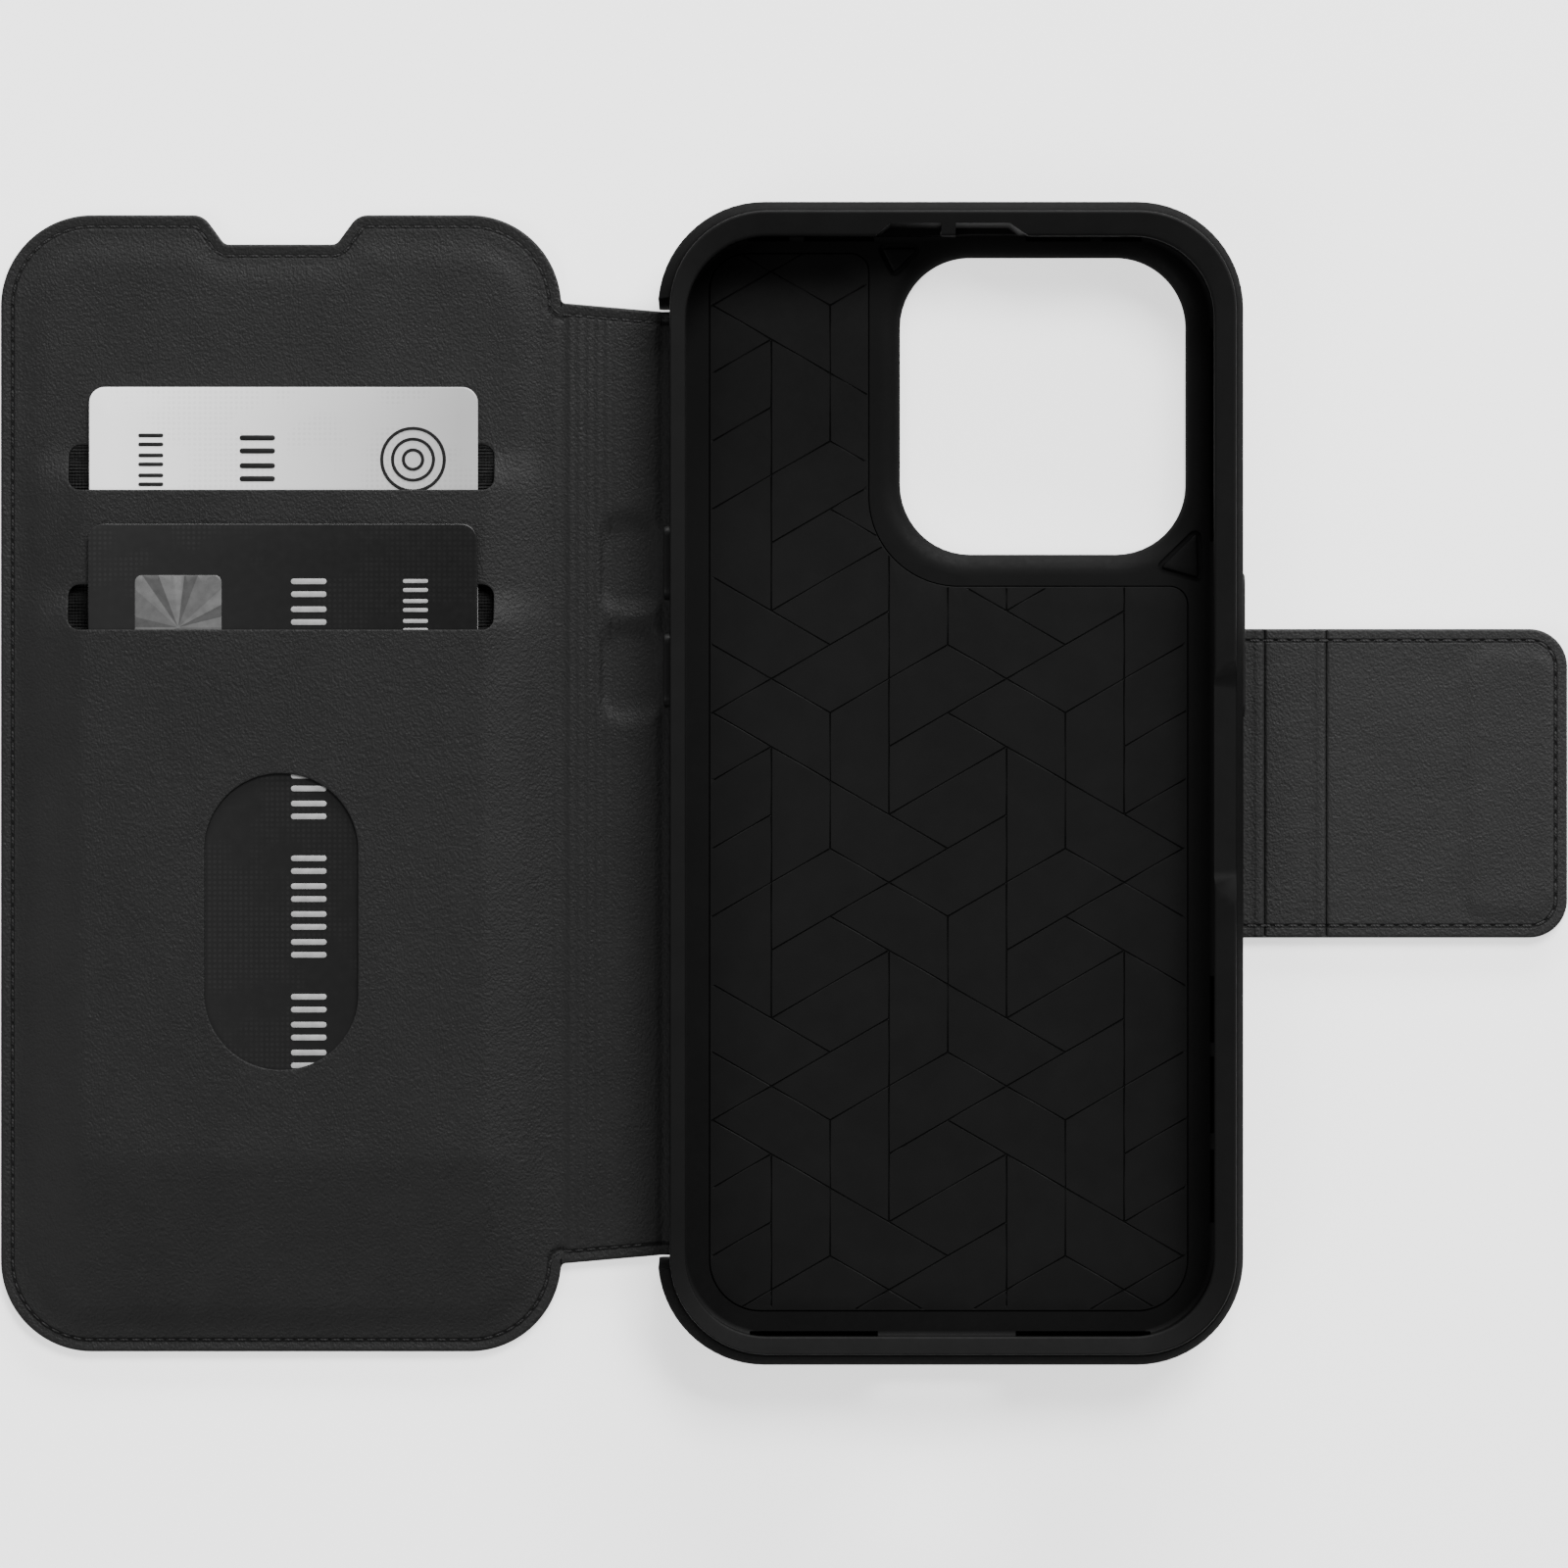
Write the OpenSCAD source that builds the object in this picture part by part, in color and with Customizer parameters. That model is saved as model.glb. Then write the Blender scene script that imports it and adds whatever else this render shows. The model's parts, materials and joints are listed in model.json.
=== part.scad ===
// Phone wallet case: leather folio with a snap-in phone shell, two card
// pockets and a magnetic latch strap, lying open on its back.
// Frame: +X runs from the cover to the latch strap, +Y to the phone's top
// end, +Z up out of the open case. The origin is the middle of the underside.

/* [Phone] */
// Width of the phone that the shell holds
phone_w = 71.5; // [70:0.5:73]
// Length of the phone
phone_l = 147.5; // [146:0.5:149]
// Thickness of the phone
phone_t = 7.85; // [7:0.05:8.5]
// Corner radius of the phone
phone_r = 11.5; // [9:0.5:12]
// Length of each volume button
volume_l = 10.1; // [8:0.1:11]
// Length of the power button
power_l = 19.3; // [14:0.1:22]
// How far a button travels
press = 0.4; // [0.2:0.1:0.5]

/* [Shell] */
// Middle of the phone along X
phone_x = 22.05; // [21:0.05:23]
// Middle of the phone along Y
phone_y = -0.4; // [-0.6:0.1:0.4]
// Gap between the phone and the walls
phone_gap = 0.1; // [0.05:0.05:0.3]
// How far the lip reaches over the phone
lip_over = 0.65; // [0.3:0.05:1]
// Top of the tray floor
floor_z = 2.2; // [2:0.1:3]
// Top of the rim
rim_z = 11.3; // [11:0.1:11.5]
// Corner radius of the bumper
bumper_r = 14.2; // [12:0.1:16]
// Half the length of the bumper
bumper_hy = 77.4; // [77:0.1:79]

/* [Leather] */
// Thickness of the outer leather
skin = 0.6; // [0.5:0.05:0.7]
// Thickness of the two-layer straps and hinges
strap_t = 1.4; // [1.2:0.1:1.6]
// Corner radius of the cover
cover_r = 12.25; // [8:0.25:14]
// Half the height of the cover
cover_hy = 76.4; // [74:0.1:77]
// Half the height of the latch strap
latch_hy = 20.76; // [16:0.01:24]
// Corner radius of the latch strap
latch_r = 5.1; // [2:0.1:8]
// Half the overall length, from the middle to either free end
overall_hx = 105.3; // [104:0.1:106]
// How far the stitches stand in from an edge
stitch_in = 1.6; // [1.2:0.1:2]

/* [Closing] */
// Height of the closed cover's outer face above the underside
closed_z = 15.15; // [15.1:0.05:16]
// Gap between the closed cover and the latch flap over it
flap_gap = 0.25; // [0.2:0.05:0.5]

/* [Cards] */
// Width of a card
card_w = 52.2; // [51:0.1:54]
// Length of a card
card_l = 85.6; // [85:0.1:86]
// Thickness of a card
card_t = 0.76; // [0.7:0.02:0.84]
// Middle of both cards and pockets along X
card_x = -67.2; // [-68:0.1:-66]
// Top edge of the upper card
upper_top = 53.2; // [50:0.1:56]
// Top edge of the lower card
lower_top = 34.8; // [32:0.1:36]

/* [Camera] */
// Width of the camera opening
camera_w = 38.4; // [34:0.1:40]
// Length of the camera opening
camera_l = 39.9; // [34:0.1:41]
// Corner radius of the camera opening
camera_r = 9.4; // [6:0.1:12]

/* [Hidden] */
$fn = 64;

// Small allowances
eps = 0.01;
cut = 1;
layer_gap = 0.04;
lap = 4;

// Phone cavity: [x0, y0, x1, y1] outlines, used by soft_rect
cavity = [phone_x - phone_w/2 - phone_gap, phone_y - phone_l/2 - phone_gap,
          phone_x + phone_w/2 + phone_gap, phone_y + phone_l/2 + phone_gap];
cavity_top = floor_z + phone_t + phone_gap;
lip = [phone_x - phone_w/2 + lip_over, phone_y - phone_l/2 + lip_over,
       phone_x + phone_w/2 - lip_over, phone_y + phone_l/2 - lip_over];
lip_r = phone_r - lip_over;

// Tray walls, each with its own thickness
wall_left = 1.4;
wall_right = 2.2;
wall_top = 2.65;
wall_bottom = 1.65;
tray = [cavity[0] - wall_left, cavity[1] - wall_bottom,
        cavity[2] + wall_right, cavity[3] + wall_top];
tray_r = 13;

// Bumper frame outside the tray
bumper = [-16.8, -bumper_hy, 61.13, bumper_hy];
bumper_top = 10.5;
bumper_step = 1.2;
bumper_inset = 0.6;
bumper_leg_y = [63.7, 64.6];
strap_clear = 0.3;

// Camera opening, flaring out from the back to the inside
camera = [15.6, 70.65 - camera_l, 15.6 + camera_w, 70.65];
camera_flare = 1.2;

// Floor liner, an L-shaped panel beside and below the camera opening
liner_z = 1.8;
liner_fit = 0.1;
liner = [-9.96, -70.8, 54.16, 71.1];
liner_step_x = 11.34;
liner_step_y = 26.4;
liner_elbow_r = 12.1;
liner_small_r = 2.4;
liner_foot_r = 6.85;
liner_top_r = 5;
liner_overlap = 20;

// Buttons: rounded bars that run along Y in the side walls
button_h = 3.4;
button_z = 5.9;
button_fit = 0.15;
flange_t = 0.3;
flange_w = 0.6;
flange_fit = 0.1;
volume_up_y = 29.5;
volume_down_y = 15.15;
power_y = 18.45;
volume_face = -16.1;
power_face = 61.55;
volume_flange = cavity[0] - press;
power_flange = cavity[2] + press;

// Finger notch in the right rim and the port opening in the bottom wall
notch_z = 10.5;
notch_y = [[-16.5, -11.9], [16.2, 13.1]];
notch_reach = [2, 8];
port = [12.7, 31.3];
port_z = [3.6, 8.4];
port_reach = 8;
vent_z = 3.2;
vent_y = 74.4;
vents = [[12.1, 20.9], [22.8, 32.5]];
vent_taper = [2, 2.5];

// Hinge lines: each fold runs along Y in the middle of the leather
fold_gap = 0.9;
spine_l = closed_z - strap_t;
spine_fold_x = -16.35;
cover_fold_x = spine_fold_x - spine_l;
latch_lift_x = 62.6;
side_l = closed_z + flap_gap;
latch_fold_x = latch_lift_x + side_l;
spine_hy = [63.4, 64.6];

// Recesses in the spine that clear the volume buttons when it is closed
pad_x = [-24.5, -15.2];
pad_l = 12.8;
pad_r = 2.5;
pad_skin = 0.05;

// Cover
cover = [-overall_hx, -cover_hy, -29.96, cover_hy];
cover_end_x = cover_fold_x - fold_gap;
border_z = 1.15;
board_z = 1.1;
board = [-101, -71.6, -34.2, 71.6];
board_r = 8.5;
board_in = 2.6;
notch_x = -67.7;
notch_half = [7.5, 10.4];
notch_depth = 3.94;
keeper = [-95.2, -17.7, -83.4, 17.7];
keeper_t = 0.4;
plate_r = 1;
plate_fit = 0.15;

// Card pockets: levels of the leather and the cards, from the board up
plain_z = 1.55;
pocket_leather_t = 0.36;
upper_z = plain_z + layer_gap;
mid_leather_z = [upper_z + card_t + layer_gap, upper_z + card_t + layer_gap + pocket_leather_t];
lower_z = mid_leather_z[1] + layer_gap;
top_leather_z = [lower_z + card_t + layer_gap, lower_z + card_t + layer_gap + pocket_leather_t];
card_r = 2.1;
slot_x = card_x - 0.3;
slot_hw = 28.55;
slot_h = 6.05;
slot_r = 1.5;
upper_slot_y = 39.4;
lower_slot_y = 20.6;
pocket_hw = card_w/2 + 1;
ridge_x = 40;
pocket_bottom = -52.4;
ramp_hw = [29.1, 33.1];
ramp_step = 0.4;
ramp_end_y = [-53.5, -69];
window = [-77.65, -38.4, -57.1, 1.3];
window_r = 10.2;
lining_t = 0.2;

// Magnet and thread
magnet = [91.7, -17.6, 103.2, 17.6];
magnet_t = 0.5;
stiffener = [65.2, -19, 72.4, 19];
stiffener_t = 0.25;
stiffener_r = 0.5;
thread_w = 0.45;
thread_t = 0.2;

// Rectangle [x0, y0, x1, y1] with corner radii [bottom left, bottom right,
// top right, top left]
module soft_rect(box, radii) {
    centres = [[box[0] + radii[0], box[1] + radii[0]], [box[2] - radii[1], box[1] + radii[1]],
               [box[2] - radii[2], box[3] - radii[2]], [box[0] + radii[3], box[3] - radii[3]]];
    outward = [[-1, -1], [1, -1], [1, 1], [-1, 1]];
    difference() {
        translate([box[0], box[1]]) square([box[2] - box[0], box[3] - box[1]]);
        for (i = [0:3])
            difference() {
                translate(centres[i] + outward[i] * (radii[i] / 2 + cut / 2))
                    square(radii[i] + cut, center = true);
                translate(centres[i]) circle(radii[i]);
            }
    }
}

module slab(z0, z1) translate([0, 0, z0]) linear_extrude(z1 - z0) children();

function grow(box, by) = [box[0] - by, box[1] - by, box[2] + by, box[3] + by];

function same(r) = [r, r, r, r];

module panel(box, r, z0, z1) slab(z0, z1) soft_rect(box, same(r));

// A bar with full-round ends along Y, standing between two X planes
module button_bar(y, length, x0, x1, by = 0) {
    half = length/2 - button_h/2;
    translate([x0, y, button_z]) rotate([90, 0, 90]) linear_extrude(x1 - x0) {
        square([2 * half, button_h + 2 * by], center = true);
        for (side = [-1, 1]) translate([side * half, 0]) circle(button_h/2 + by);
    }
}

// Button in the left wall: cap outside, flange in a pocket inside
module left_button(y) {
    button_bar(y, volume_l, volume_face, volume_flange);
    button_bar(y, volume_l, volume_flange - flange_t, volume_flange, flange_w);
}

module left_button_hole(y) {
    button_bar(y, volume_l, tray[0] - cut, cavity[0] + cut, button_fit);
    button_bar(y, volume_l, volume_flange - flange_t - flange_fit, cavity[0] + cut, flange_w + button_fit);
}

module right_button_hole() {
    button_bar(power_y, power_l, cavity[2] - cut, bumper[2] + cut, button_fit);
    button_bar(power_y, power_l, cavity[2] - cut, power_flange + flange_t + flange_fit, flange_w + button_fit);
}

// Trapezoid lowered stretch in the right rim
module finger_notch() {
    top = rim_z + cut;
    slope = (notch_y[1][0] - notch_y[1][1]) / (rim_z - notch_z);
    translate([lip[2] - notch_reach[0], 0, 0]) rotate([90, 0, 90]) linear_extrude(notch_reach[1])
        polygon([[notch_y[0][1], notch_z], [notch_y[1][1], notch_z],
                 [notch_y[1][0] + slope * cut, top], [notch_y[0][0] - slope * cut, top]]);
}

module vent_pockets()
    for (v = vents) {
        outer = v == vents[0] ? [v[0] + vent_taper[0], v[1]] : [v[0], v[1] - vent_taper[1]];
        slab(vent_z, rim_z + cut)
            polygon([[v[0], lip[3] - 1], [v[1], lip[3] - 1], [v[1], lip[3]], [outer[1], vent_y],
                     [outer[0], vent_y], [v[0], lip[3]]]);
    }

module port_opening()
    translate([port[0], -bumper_hy - cut, port_z[0]])
        cube([port[1] - port[0], port_reach, port_z[1] - port_z[0]]);

module liner_outline(by) {
    soft_rect([liner[0] - by, liner[1] - by, liner[2] + by, liner_step_y + by],
              [liner_foot_r, liner_foot_r, liner_small_r, 0]);
    soft_rect([liner[0] - by, liner_step_y - liner_overlap, liner_step_x + by, liner[3] + by],
              [0, 0, liner_small_r, liner_top_r]);
    difference() {
        translate([liner_step_x, liner_step_y]) square(liner_elbow_r);
        translate([liner_step_x + liner_elbow_r, liner_step_y + liner_elbow_r]) circle(liner_elbow_r - by);
    }
}

module shell_tray()
    color([0.05, 0.05, 0.055])
    difference() {
        panel(tray, tray_r, skin, rim_z);
        panel(cavity, phone_r, floor_z, cavity_top);
        panel(lip, lip_r, cavity_top - eps, rim_z + cut);
        slab(liner_z, floor_z + eps) liner_outline(liner_fit);
        panel(grow(camera, camera_flare), camera_r + camera_flare, 0, floor_z + cut);
        left_button_hole(volume_up_y);
        left_button_hole(volume_down_y);
        right_button_hole();
        finger_notch();
        vent_pockets();
        port_opening();
    }

// Gap between the bumper's legs, leaning back to clear the closed spine
module leg_gap() {
    slope = (bumper_leg_y[1] - bumper_leg_y[0]) / bumper_top;
    low = bumper_leg_y[0] - slope * cut;
    high = bumper_leg_y[1] + slope * cut;
    translate([bumper[0] - cut, 0, 0]) rotate([90, 0, 90]) linear_extrude(tray[0] - bumper[0] + 2 * cut)
        polygon([[-low, -cut], [low, -cut], [high, bumper_top + cut], [-high, bumper_top + cut]]);
}

// C-shaped bumper round three sides and the left corners
module bumper_frame()
    color([0.04, 0.04, 0.045])
    difference() {
        union() {
            panel(bumper, bumper_r, 0, bumper_top - bumper_step);
            panel(grow(bumper, -bumper_inset), bumper_r - bumper_inset, 0, bumper_top);
        }
        panel(tray, tray_r, -cut, bumper_top + cut);
        leg_gap();
        translate([tray[2] - cut, -latch_hy - strap_clear, -cut])
            cube([lap, 2 * (latch_hy + strap_clear), cut + strap_t + strap_clear]);
        right_button_hole();
        port_opening();
    }

module floor_liner()
    color([0.12, 0.12, 0.12])
    slab(liner_z, floor_z) liner_outline(0);

// Outer leather under the shell, reaching out to the spine and strap folds
module back_leather()
    color([0.16, 0.16, 0.16])
    slab(0, skin)
    difference() {
        union() {
            soft_rect(tray, same(tray_r));
            translate([spine_fold_x, -spine_hy[0]]) square([lap, 2 * spine_hy[0]]);
            translate([tray[2] - lap, -latch_hy]) square([latch_lift_x - tray[2] + lap, 2 * latch_hy]);
        }
        soft_rect(camera, same(camera_r));
    }

module power_button()
    color([0.05, 0.05, 0.055]) {
        button_bar(power_y, power_l, power_flange, power_face);
        button_bar(power_y, power_l, power_flange, power_flange + flange_t, flange_w);
    }

module volume_up_button() color([0.05, 0.05, 0.055]) left_button(volume_up_y);

module volume_down_button() color([0.05, 0.05, 0.055]) left_button(volume_down_y);

// The spine tapers slightly from the cover to the shell
spine_ends = [spine_fold_x - fold_gap, cover_fold_x + fold_gap];

module spine_outline()
    polygon([[spine_ends[0], -spine_hy[0]], [spine_ends[0], spine_hy[0]],
             [spine_ends[1], spine_hy[1]], [spine_ends[1], -spine_hy[1]]]);

module spine_outer_leather()
    color([0.16, 0.16, 0.16])
    slab(0, skin) spine_outline();

module spine_inner_leather()
    color([0.17, 0.17, 0.17])
    difference() {
        slab(skin, strap_t) spine_outline();
        for (y = [volume_up_y, volume_down_y])
            panel([pad_x[0], y - pad_l/2, pad_x[1], y + pad_l/2], pad_r, skin + pad_skin, strap_t + cut);
    }

module spine_stitching()
    color([0.35, 0.35, 0.35])
    slab(strap_t, strap_t + thread_t)
    for (side = [-1, 1])
        polygon([[spine_ends[0], side * (spine_hy[0] - stitch_in)],
                 [spine_ends[1], side * (spine_hy[1] - stitch_in)],
                 [spine_ends[1], side * (spine_hy[1] - stitch_in - thread_w)],
                 [spine_ends[0], side * (spine_hy[0] - stitch_in - thread_w)]]);

// Cover outline with its top notch, set in from the edge by an inset
module cover_outline(inset) {
    slope = (notch_half[1] - notch_half[0]) / notch_depth;
    bottom = cover_hy - notch_depth - inset;
    difference() {
        soft_rect(grow(cover, -inset), same(cover_r - inset));
        polygon([[notch_x - notch_half[0] - inset, bottom], [notch_x + notch_half[0] + inset, bottom],
                 [notch_x + notch_half[1] + inset + slope * cut, cover_hy + cut],
                 [notch_x - notch_half[1] - inset - slope * cut, cover_hy + cut]]);
        translate([cover_end_x, -cover_hy - cut]) square([lap, 2 * (cover_hy + cut)]);
    }
}

module cover_outer_leather()
    color([0.16, 0.16, 0.16])
    slab(0, skin) cover_outline(0);

module board_outline()
    intersection() {
        soft_rect(board, same(board_r));
        cover_outline(board_in);
    }

// Stiff board, let out for the steel plate that the magnet finds
module cover_board()
    color([0.45, 0.43, 0.4])
    difference() {
        slab(skin, board_z) board_outline();
        panel(grow(keeper, plate_fit), plate_r, skin - cut, board_z + cut);
    }

module latch_keeper()
    color([0.7, 0.7, 0.72])
    panel(keeper, plate_r, skin, skin + keeper_t);

// Trapezoid ridge along Y that carries a pocket front at height z
module pocket_ridge(y0, y1, z) {
    foot = ramp_hw[1] - (z == mid_leather_z[1] ? ramp_step : 0);
    translate([card_x, y1, 0]) rotate([90, 0, 0]) linear_extrude(y1 - y0)
        polygon([[-foot, board_z], [foot, board_z], [ramp_hw[0], z], [-ramp_hw[0], z]]);
}

module pocket_hollow(y0, y1, z)
    translate([card_x - pocket_hw, y0, board_z - cut])
        cube([2 * pocket_hw, y1 - y0, z - board_z + cut]);

module slot_opening(y)
    panel([slot_x - slot_hw, y, slot_x + slot_hw, y + slot_h], slot_r, 0, top_leather_z[1] + cut);

// One sheet: stitched border, plain field, and the two pocket fronts
module cover_inner_leather()
    color([0.17, 0.17, 0.17])
    difference() {
        union() {
            slab(skin, border_z) difference() {
                cover_outline(0);
                board_outline();
            }
            slab(board_z, plain_z) board_outline();
            pocket_ridge(lower_slot_y, upper_slot_y, mid_leather_z[1]);
            intersection() {
                pocket_ridge(ramp_end_y[1], lower_slot_y, top_leather_z[1]);
                translate([card_x - ridge_x, 0, 0]) rotate([90, 0, 90]) linear_extrude(2 * ridge_x)
                    polygon([[lower_slot_y, board_z], [lower_slot_y, top_leather_z[1]],
                             [ramp_end_y[0], top_leather_z[1]], [ramp_end_y[1], board_z]]);
            }
        }
        pocket_hollow(pocket_bottom, lower_slot_y + cut, top_leather_z[0]);
        pocket_hollow(lower_slot_y, upper_slot_y + slot_h - cut, mid_leather_z[0]);
        slot_opening(upper_slot_y);
        slot_opening(lower_slot_y);
        panel(window, window_r, board_z, top_leather_z[1] + cut);
    }

module cover_stitching()
    color([0.35, 0.35, 0.35])
    slab(border_z, border_z + thread_t)
    difference() {
        cover_outline(stitch_in);
        cover_outline(stitch_in + thread_w);
        translate([cover_end_x - lap, -spine_hy[1]]) square([2 * lap, 2 * spine_hy[1]]);
    }

module pocket_lining()
    color([0.06, 0.06, 0.06])
    slab(board_z, board_z + lining_t)
    translate([card_x - pocket_hw, pocket_bottom])
        square([2 * pocket_hw, upper_slot_y + lap - pocket_bottom]);

module pocket_divider()
    color([0.06, 0.06, 0.06])
    slab(mid_leather_z[0], mid_leather_z[0] + lining_t)
    translate([card_x - pocket_hw, pocket_bottom])
        square([2 * pocket_hw, lower_slot_y - pocket_bottom]);

module card(top, z)
    panel([card_x - card_w/2, top - card_l, card_x + card_w/2, top], card_r, z, z + card_t);

module card_upper() color([0.75, 0.76, 0.78]) card(upper_top, upper_z);

module card_lower() color([0.05, 0.05, 0.06]) card(lower_top, lower_z);

// Latch strap: the stiff side panel, then the flap with the magnet
module side_outline()
    translate([latch_lift_x + fold_gap, -latch_hy]) square([side_l - 2 * fold_gap, 2 * latch_hy]);

module flap_outline(inset) {
    start = latch_fold_x + fold_gap;
    soft_rect([start, -latch_hy + inset, overall_hx - inset, latch_hy - inset],
              [0, latch_r - inset, latch_r - inset, 0]);
}

module latch_side_outer_leather()
    color([0.16, 0.16, 0.16])
    slab(0, skin) side_outline();

module latch_side_inner_leather()
    color([0.17, 0.17, 0.17])
    difference() {
        slab(skin, strap_t) side_outline();
        panel(stiffener, stiffener_r, skin - cut, skin + stiffener_t);
    }

module latch_side_stiffener()
    color([0.45, 0.43, 0.4])
    panel(stiffener, stiffener_r, skin, skin + stiffener_t);

module latch_side_stitching()
    color([0.35, 0.35, 0.35])
    for (side = [-1, 1])
        translate([latch_lift_x + fold_gap, side * (latch_hy - stitch_in - thread_w/2) - thread_w/2, strap_t])
            cube([side_l - 2 * fold_gap, thread_w, thread_t]);

module latch_flap_outer_leather()
    color([0.16, 0.16, 0.16])
    slab(0, skin) flap_outline(0);

module latch_flap_inner_leather()
    color([0.17, 0.17, 0.17])
    difference() {
        slab(skin, strap_t) flap_outline(0);
        panel(magnet, plate_r, skin - cut, skin + magnet_t);
    }

module latch_magnet()
    color([0.3, 0.3, 0.32])
    panel(magnet, plate_r, skin, skin + magnet_t);

module latch_flap_stitching()
    color([0.35, 0.35, 0.35])
    slab(strap_t, strap_t + thread_t)
    difference() {
        flap_outline(stitch_in);
        translate([-thread_w, 0]) flap_outline(stitch_in + thread_w);
        flap_outline(stitch_in + thread_w);
    }

shell_tray();
bumper_frame();
floor_liner();
back_leather();
power_button();
volume_up_button();
volume_down_button();
spine_outer_leather();
spine_inner_leather();
spine_stitching();
cover_outer_leather();
cover_board();
cover_inner_leather();
cover_stitching();
pocket_lining();
pocket_divider();
latch_keeper();
card_upper();
card_lower();
latch_side_outer_leather();
latch_side_inner_leather();
latch_side_stiffener();
latch_side_stitching();
latch_flap_outer_leather();
latch_flap_inner_leather();
latch_magnet();
latch_flap_stitching();
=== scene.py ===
"""Looks of the phone wallet case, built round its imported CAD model.

Lengths in this script are in millimetres until a mesh is made, where MM
turns them into metres. Positions come from the boxes of the CAD nodes and
from the joints.
"""

import json
import math

import bpy
import numpy as np
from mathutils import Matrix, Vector
from mathutils.geometry import delaunay_2d_cdt

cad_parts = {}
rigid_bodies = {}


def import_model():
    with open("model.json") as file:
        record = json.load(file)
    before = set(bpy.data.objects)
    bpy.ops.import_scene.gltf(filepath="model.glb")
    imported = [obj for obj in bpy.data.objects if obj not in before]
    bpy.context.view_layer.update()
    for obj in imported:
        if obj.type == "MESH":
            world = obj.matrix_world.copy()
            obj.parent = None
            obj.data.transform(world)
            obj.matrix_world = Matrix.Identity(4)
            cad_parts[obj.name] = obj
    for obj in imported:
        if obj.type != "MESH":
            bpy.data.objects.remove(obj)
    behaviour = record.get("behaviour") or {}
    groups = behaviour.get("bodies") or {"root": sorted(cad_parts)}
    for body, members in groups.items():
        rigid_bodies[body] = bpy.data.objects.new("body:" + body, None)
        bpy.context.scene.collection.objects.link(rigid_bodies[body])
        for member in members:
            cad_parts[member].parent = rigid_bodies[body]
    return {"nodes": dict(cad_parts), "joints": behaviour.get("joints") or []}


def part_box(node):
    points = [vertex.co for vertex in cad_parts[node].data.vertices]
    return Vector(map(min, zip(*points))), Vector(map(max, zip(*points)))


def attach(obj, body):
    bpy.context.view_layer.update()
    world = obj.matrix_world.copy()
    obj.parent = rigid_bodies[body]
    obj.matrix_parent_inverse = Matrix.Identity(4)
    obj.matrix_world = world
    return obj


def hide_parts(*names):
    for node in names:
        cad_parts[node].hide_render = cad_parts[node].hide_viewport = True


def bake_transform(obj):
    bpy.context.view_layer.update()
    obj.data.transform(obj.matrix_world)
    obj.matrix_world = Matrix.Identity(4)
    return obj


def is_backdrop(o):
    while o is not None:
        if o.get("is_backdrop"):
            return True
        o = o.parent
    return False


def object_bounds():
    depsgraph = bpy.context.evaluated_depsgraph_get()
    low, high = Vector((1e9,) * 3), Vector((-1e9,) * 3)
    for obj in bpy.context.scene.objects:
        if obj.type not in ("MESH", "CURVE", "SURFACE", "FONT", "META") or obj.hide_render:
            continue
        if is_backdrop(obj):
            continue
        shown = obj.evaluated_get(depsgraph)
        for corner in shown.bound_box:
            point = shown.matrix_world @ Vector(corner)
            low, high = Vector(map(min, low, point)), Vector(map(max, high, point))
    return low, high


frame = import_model()
cad_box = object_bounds()

MM = 0.001
# Beyond every piece
FAR = 1e3


class Box:
    """The box of a CAD node, in millimetres."""

    def __init__(self, node):
        low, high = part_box(node)
        self.x0, self.y0, self.z0 = (value / MM for value in low)
        self.x1, self.y1, self.z1 = (value / MM for value in high)
        self.cx = (self.x0 + self.x1) / 2
        self.cy = (self.y0 + self.y1) / 2
        self.cz = (self.z0 + self.z1) / 2
        self.flat = (self.x0, self.y0, self.x1, self.y1)


COVER = Box("cover_outer_leather")
BOARD = Box("cover_board")
SPINE_INNER = Box("spine_inner_leather")
TRAY = Box("shell_tray")
BUMPER = Box("bumper_frame")
LINER = Box("floor_liner")
FLAP = Box("latch_flap_outer_leather")
MAGNET = Box("latch_magnet")
STIFFENER = Box("latch_side_stiffener")
UPPER_CARD = Box("card_upper")
LOWER_CARD = Box("card_lower")
POWER = Box("power_button")
VOLUME_UP = Box("volume_up_button")
VOLUME_DOWN = Box("volume_down_button")

FOLD = {}
for joint in frame["joints"]:
    if "pos_m" in joint:
        FOLD[joint["name"]] = joint["pos_m"][0] / MM


# ---- outlines

# The furthest that points on a round corner stand apart
ARC_STEP = 0.45


def moved_line(a, b, shift):
    """A point and a direction on the line from a to b, moved to its left."""
    along = (b - a).normalized()
    left = Vector((-along.y, along.x))
    return a + left * shift, along


def crossing(first, second):
    """Where two lines, each a point and a direction, cross."""
    (p, u), (q, v) = first, second
    across = u.x * v.y - u.y * v.x
    gap = q - p
    return p + u * ((gap.x * v.y - gap.y * v.x) / across)


def spread(a, b, step):
    """Points from a up to, but without, b."""
    count = max(1, math.ceil((b - a).length / step - 1e-6))
    return [a.lerp(b, i / count) for i in range(count)]


def arc_points(start, centre, angle, steps):
    """Points on the arc that turns start round centre by angle."""
    arm = start - centre
    points = []
    for i in range(steps + 1):
        c, s = math.cos(angle * i / steps), math.sin(angle * i / steps)
        points.append(centre + Vector((arm.x * c - arm.y * s, arm.x * s + arm.y * c)))
    return points


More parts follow.
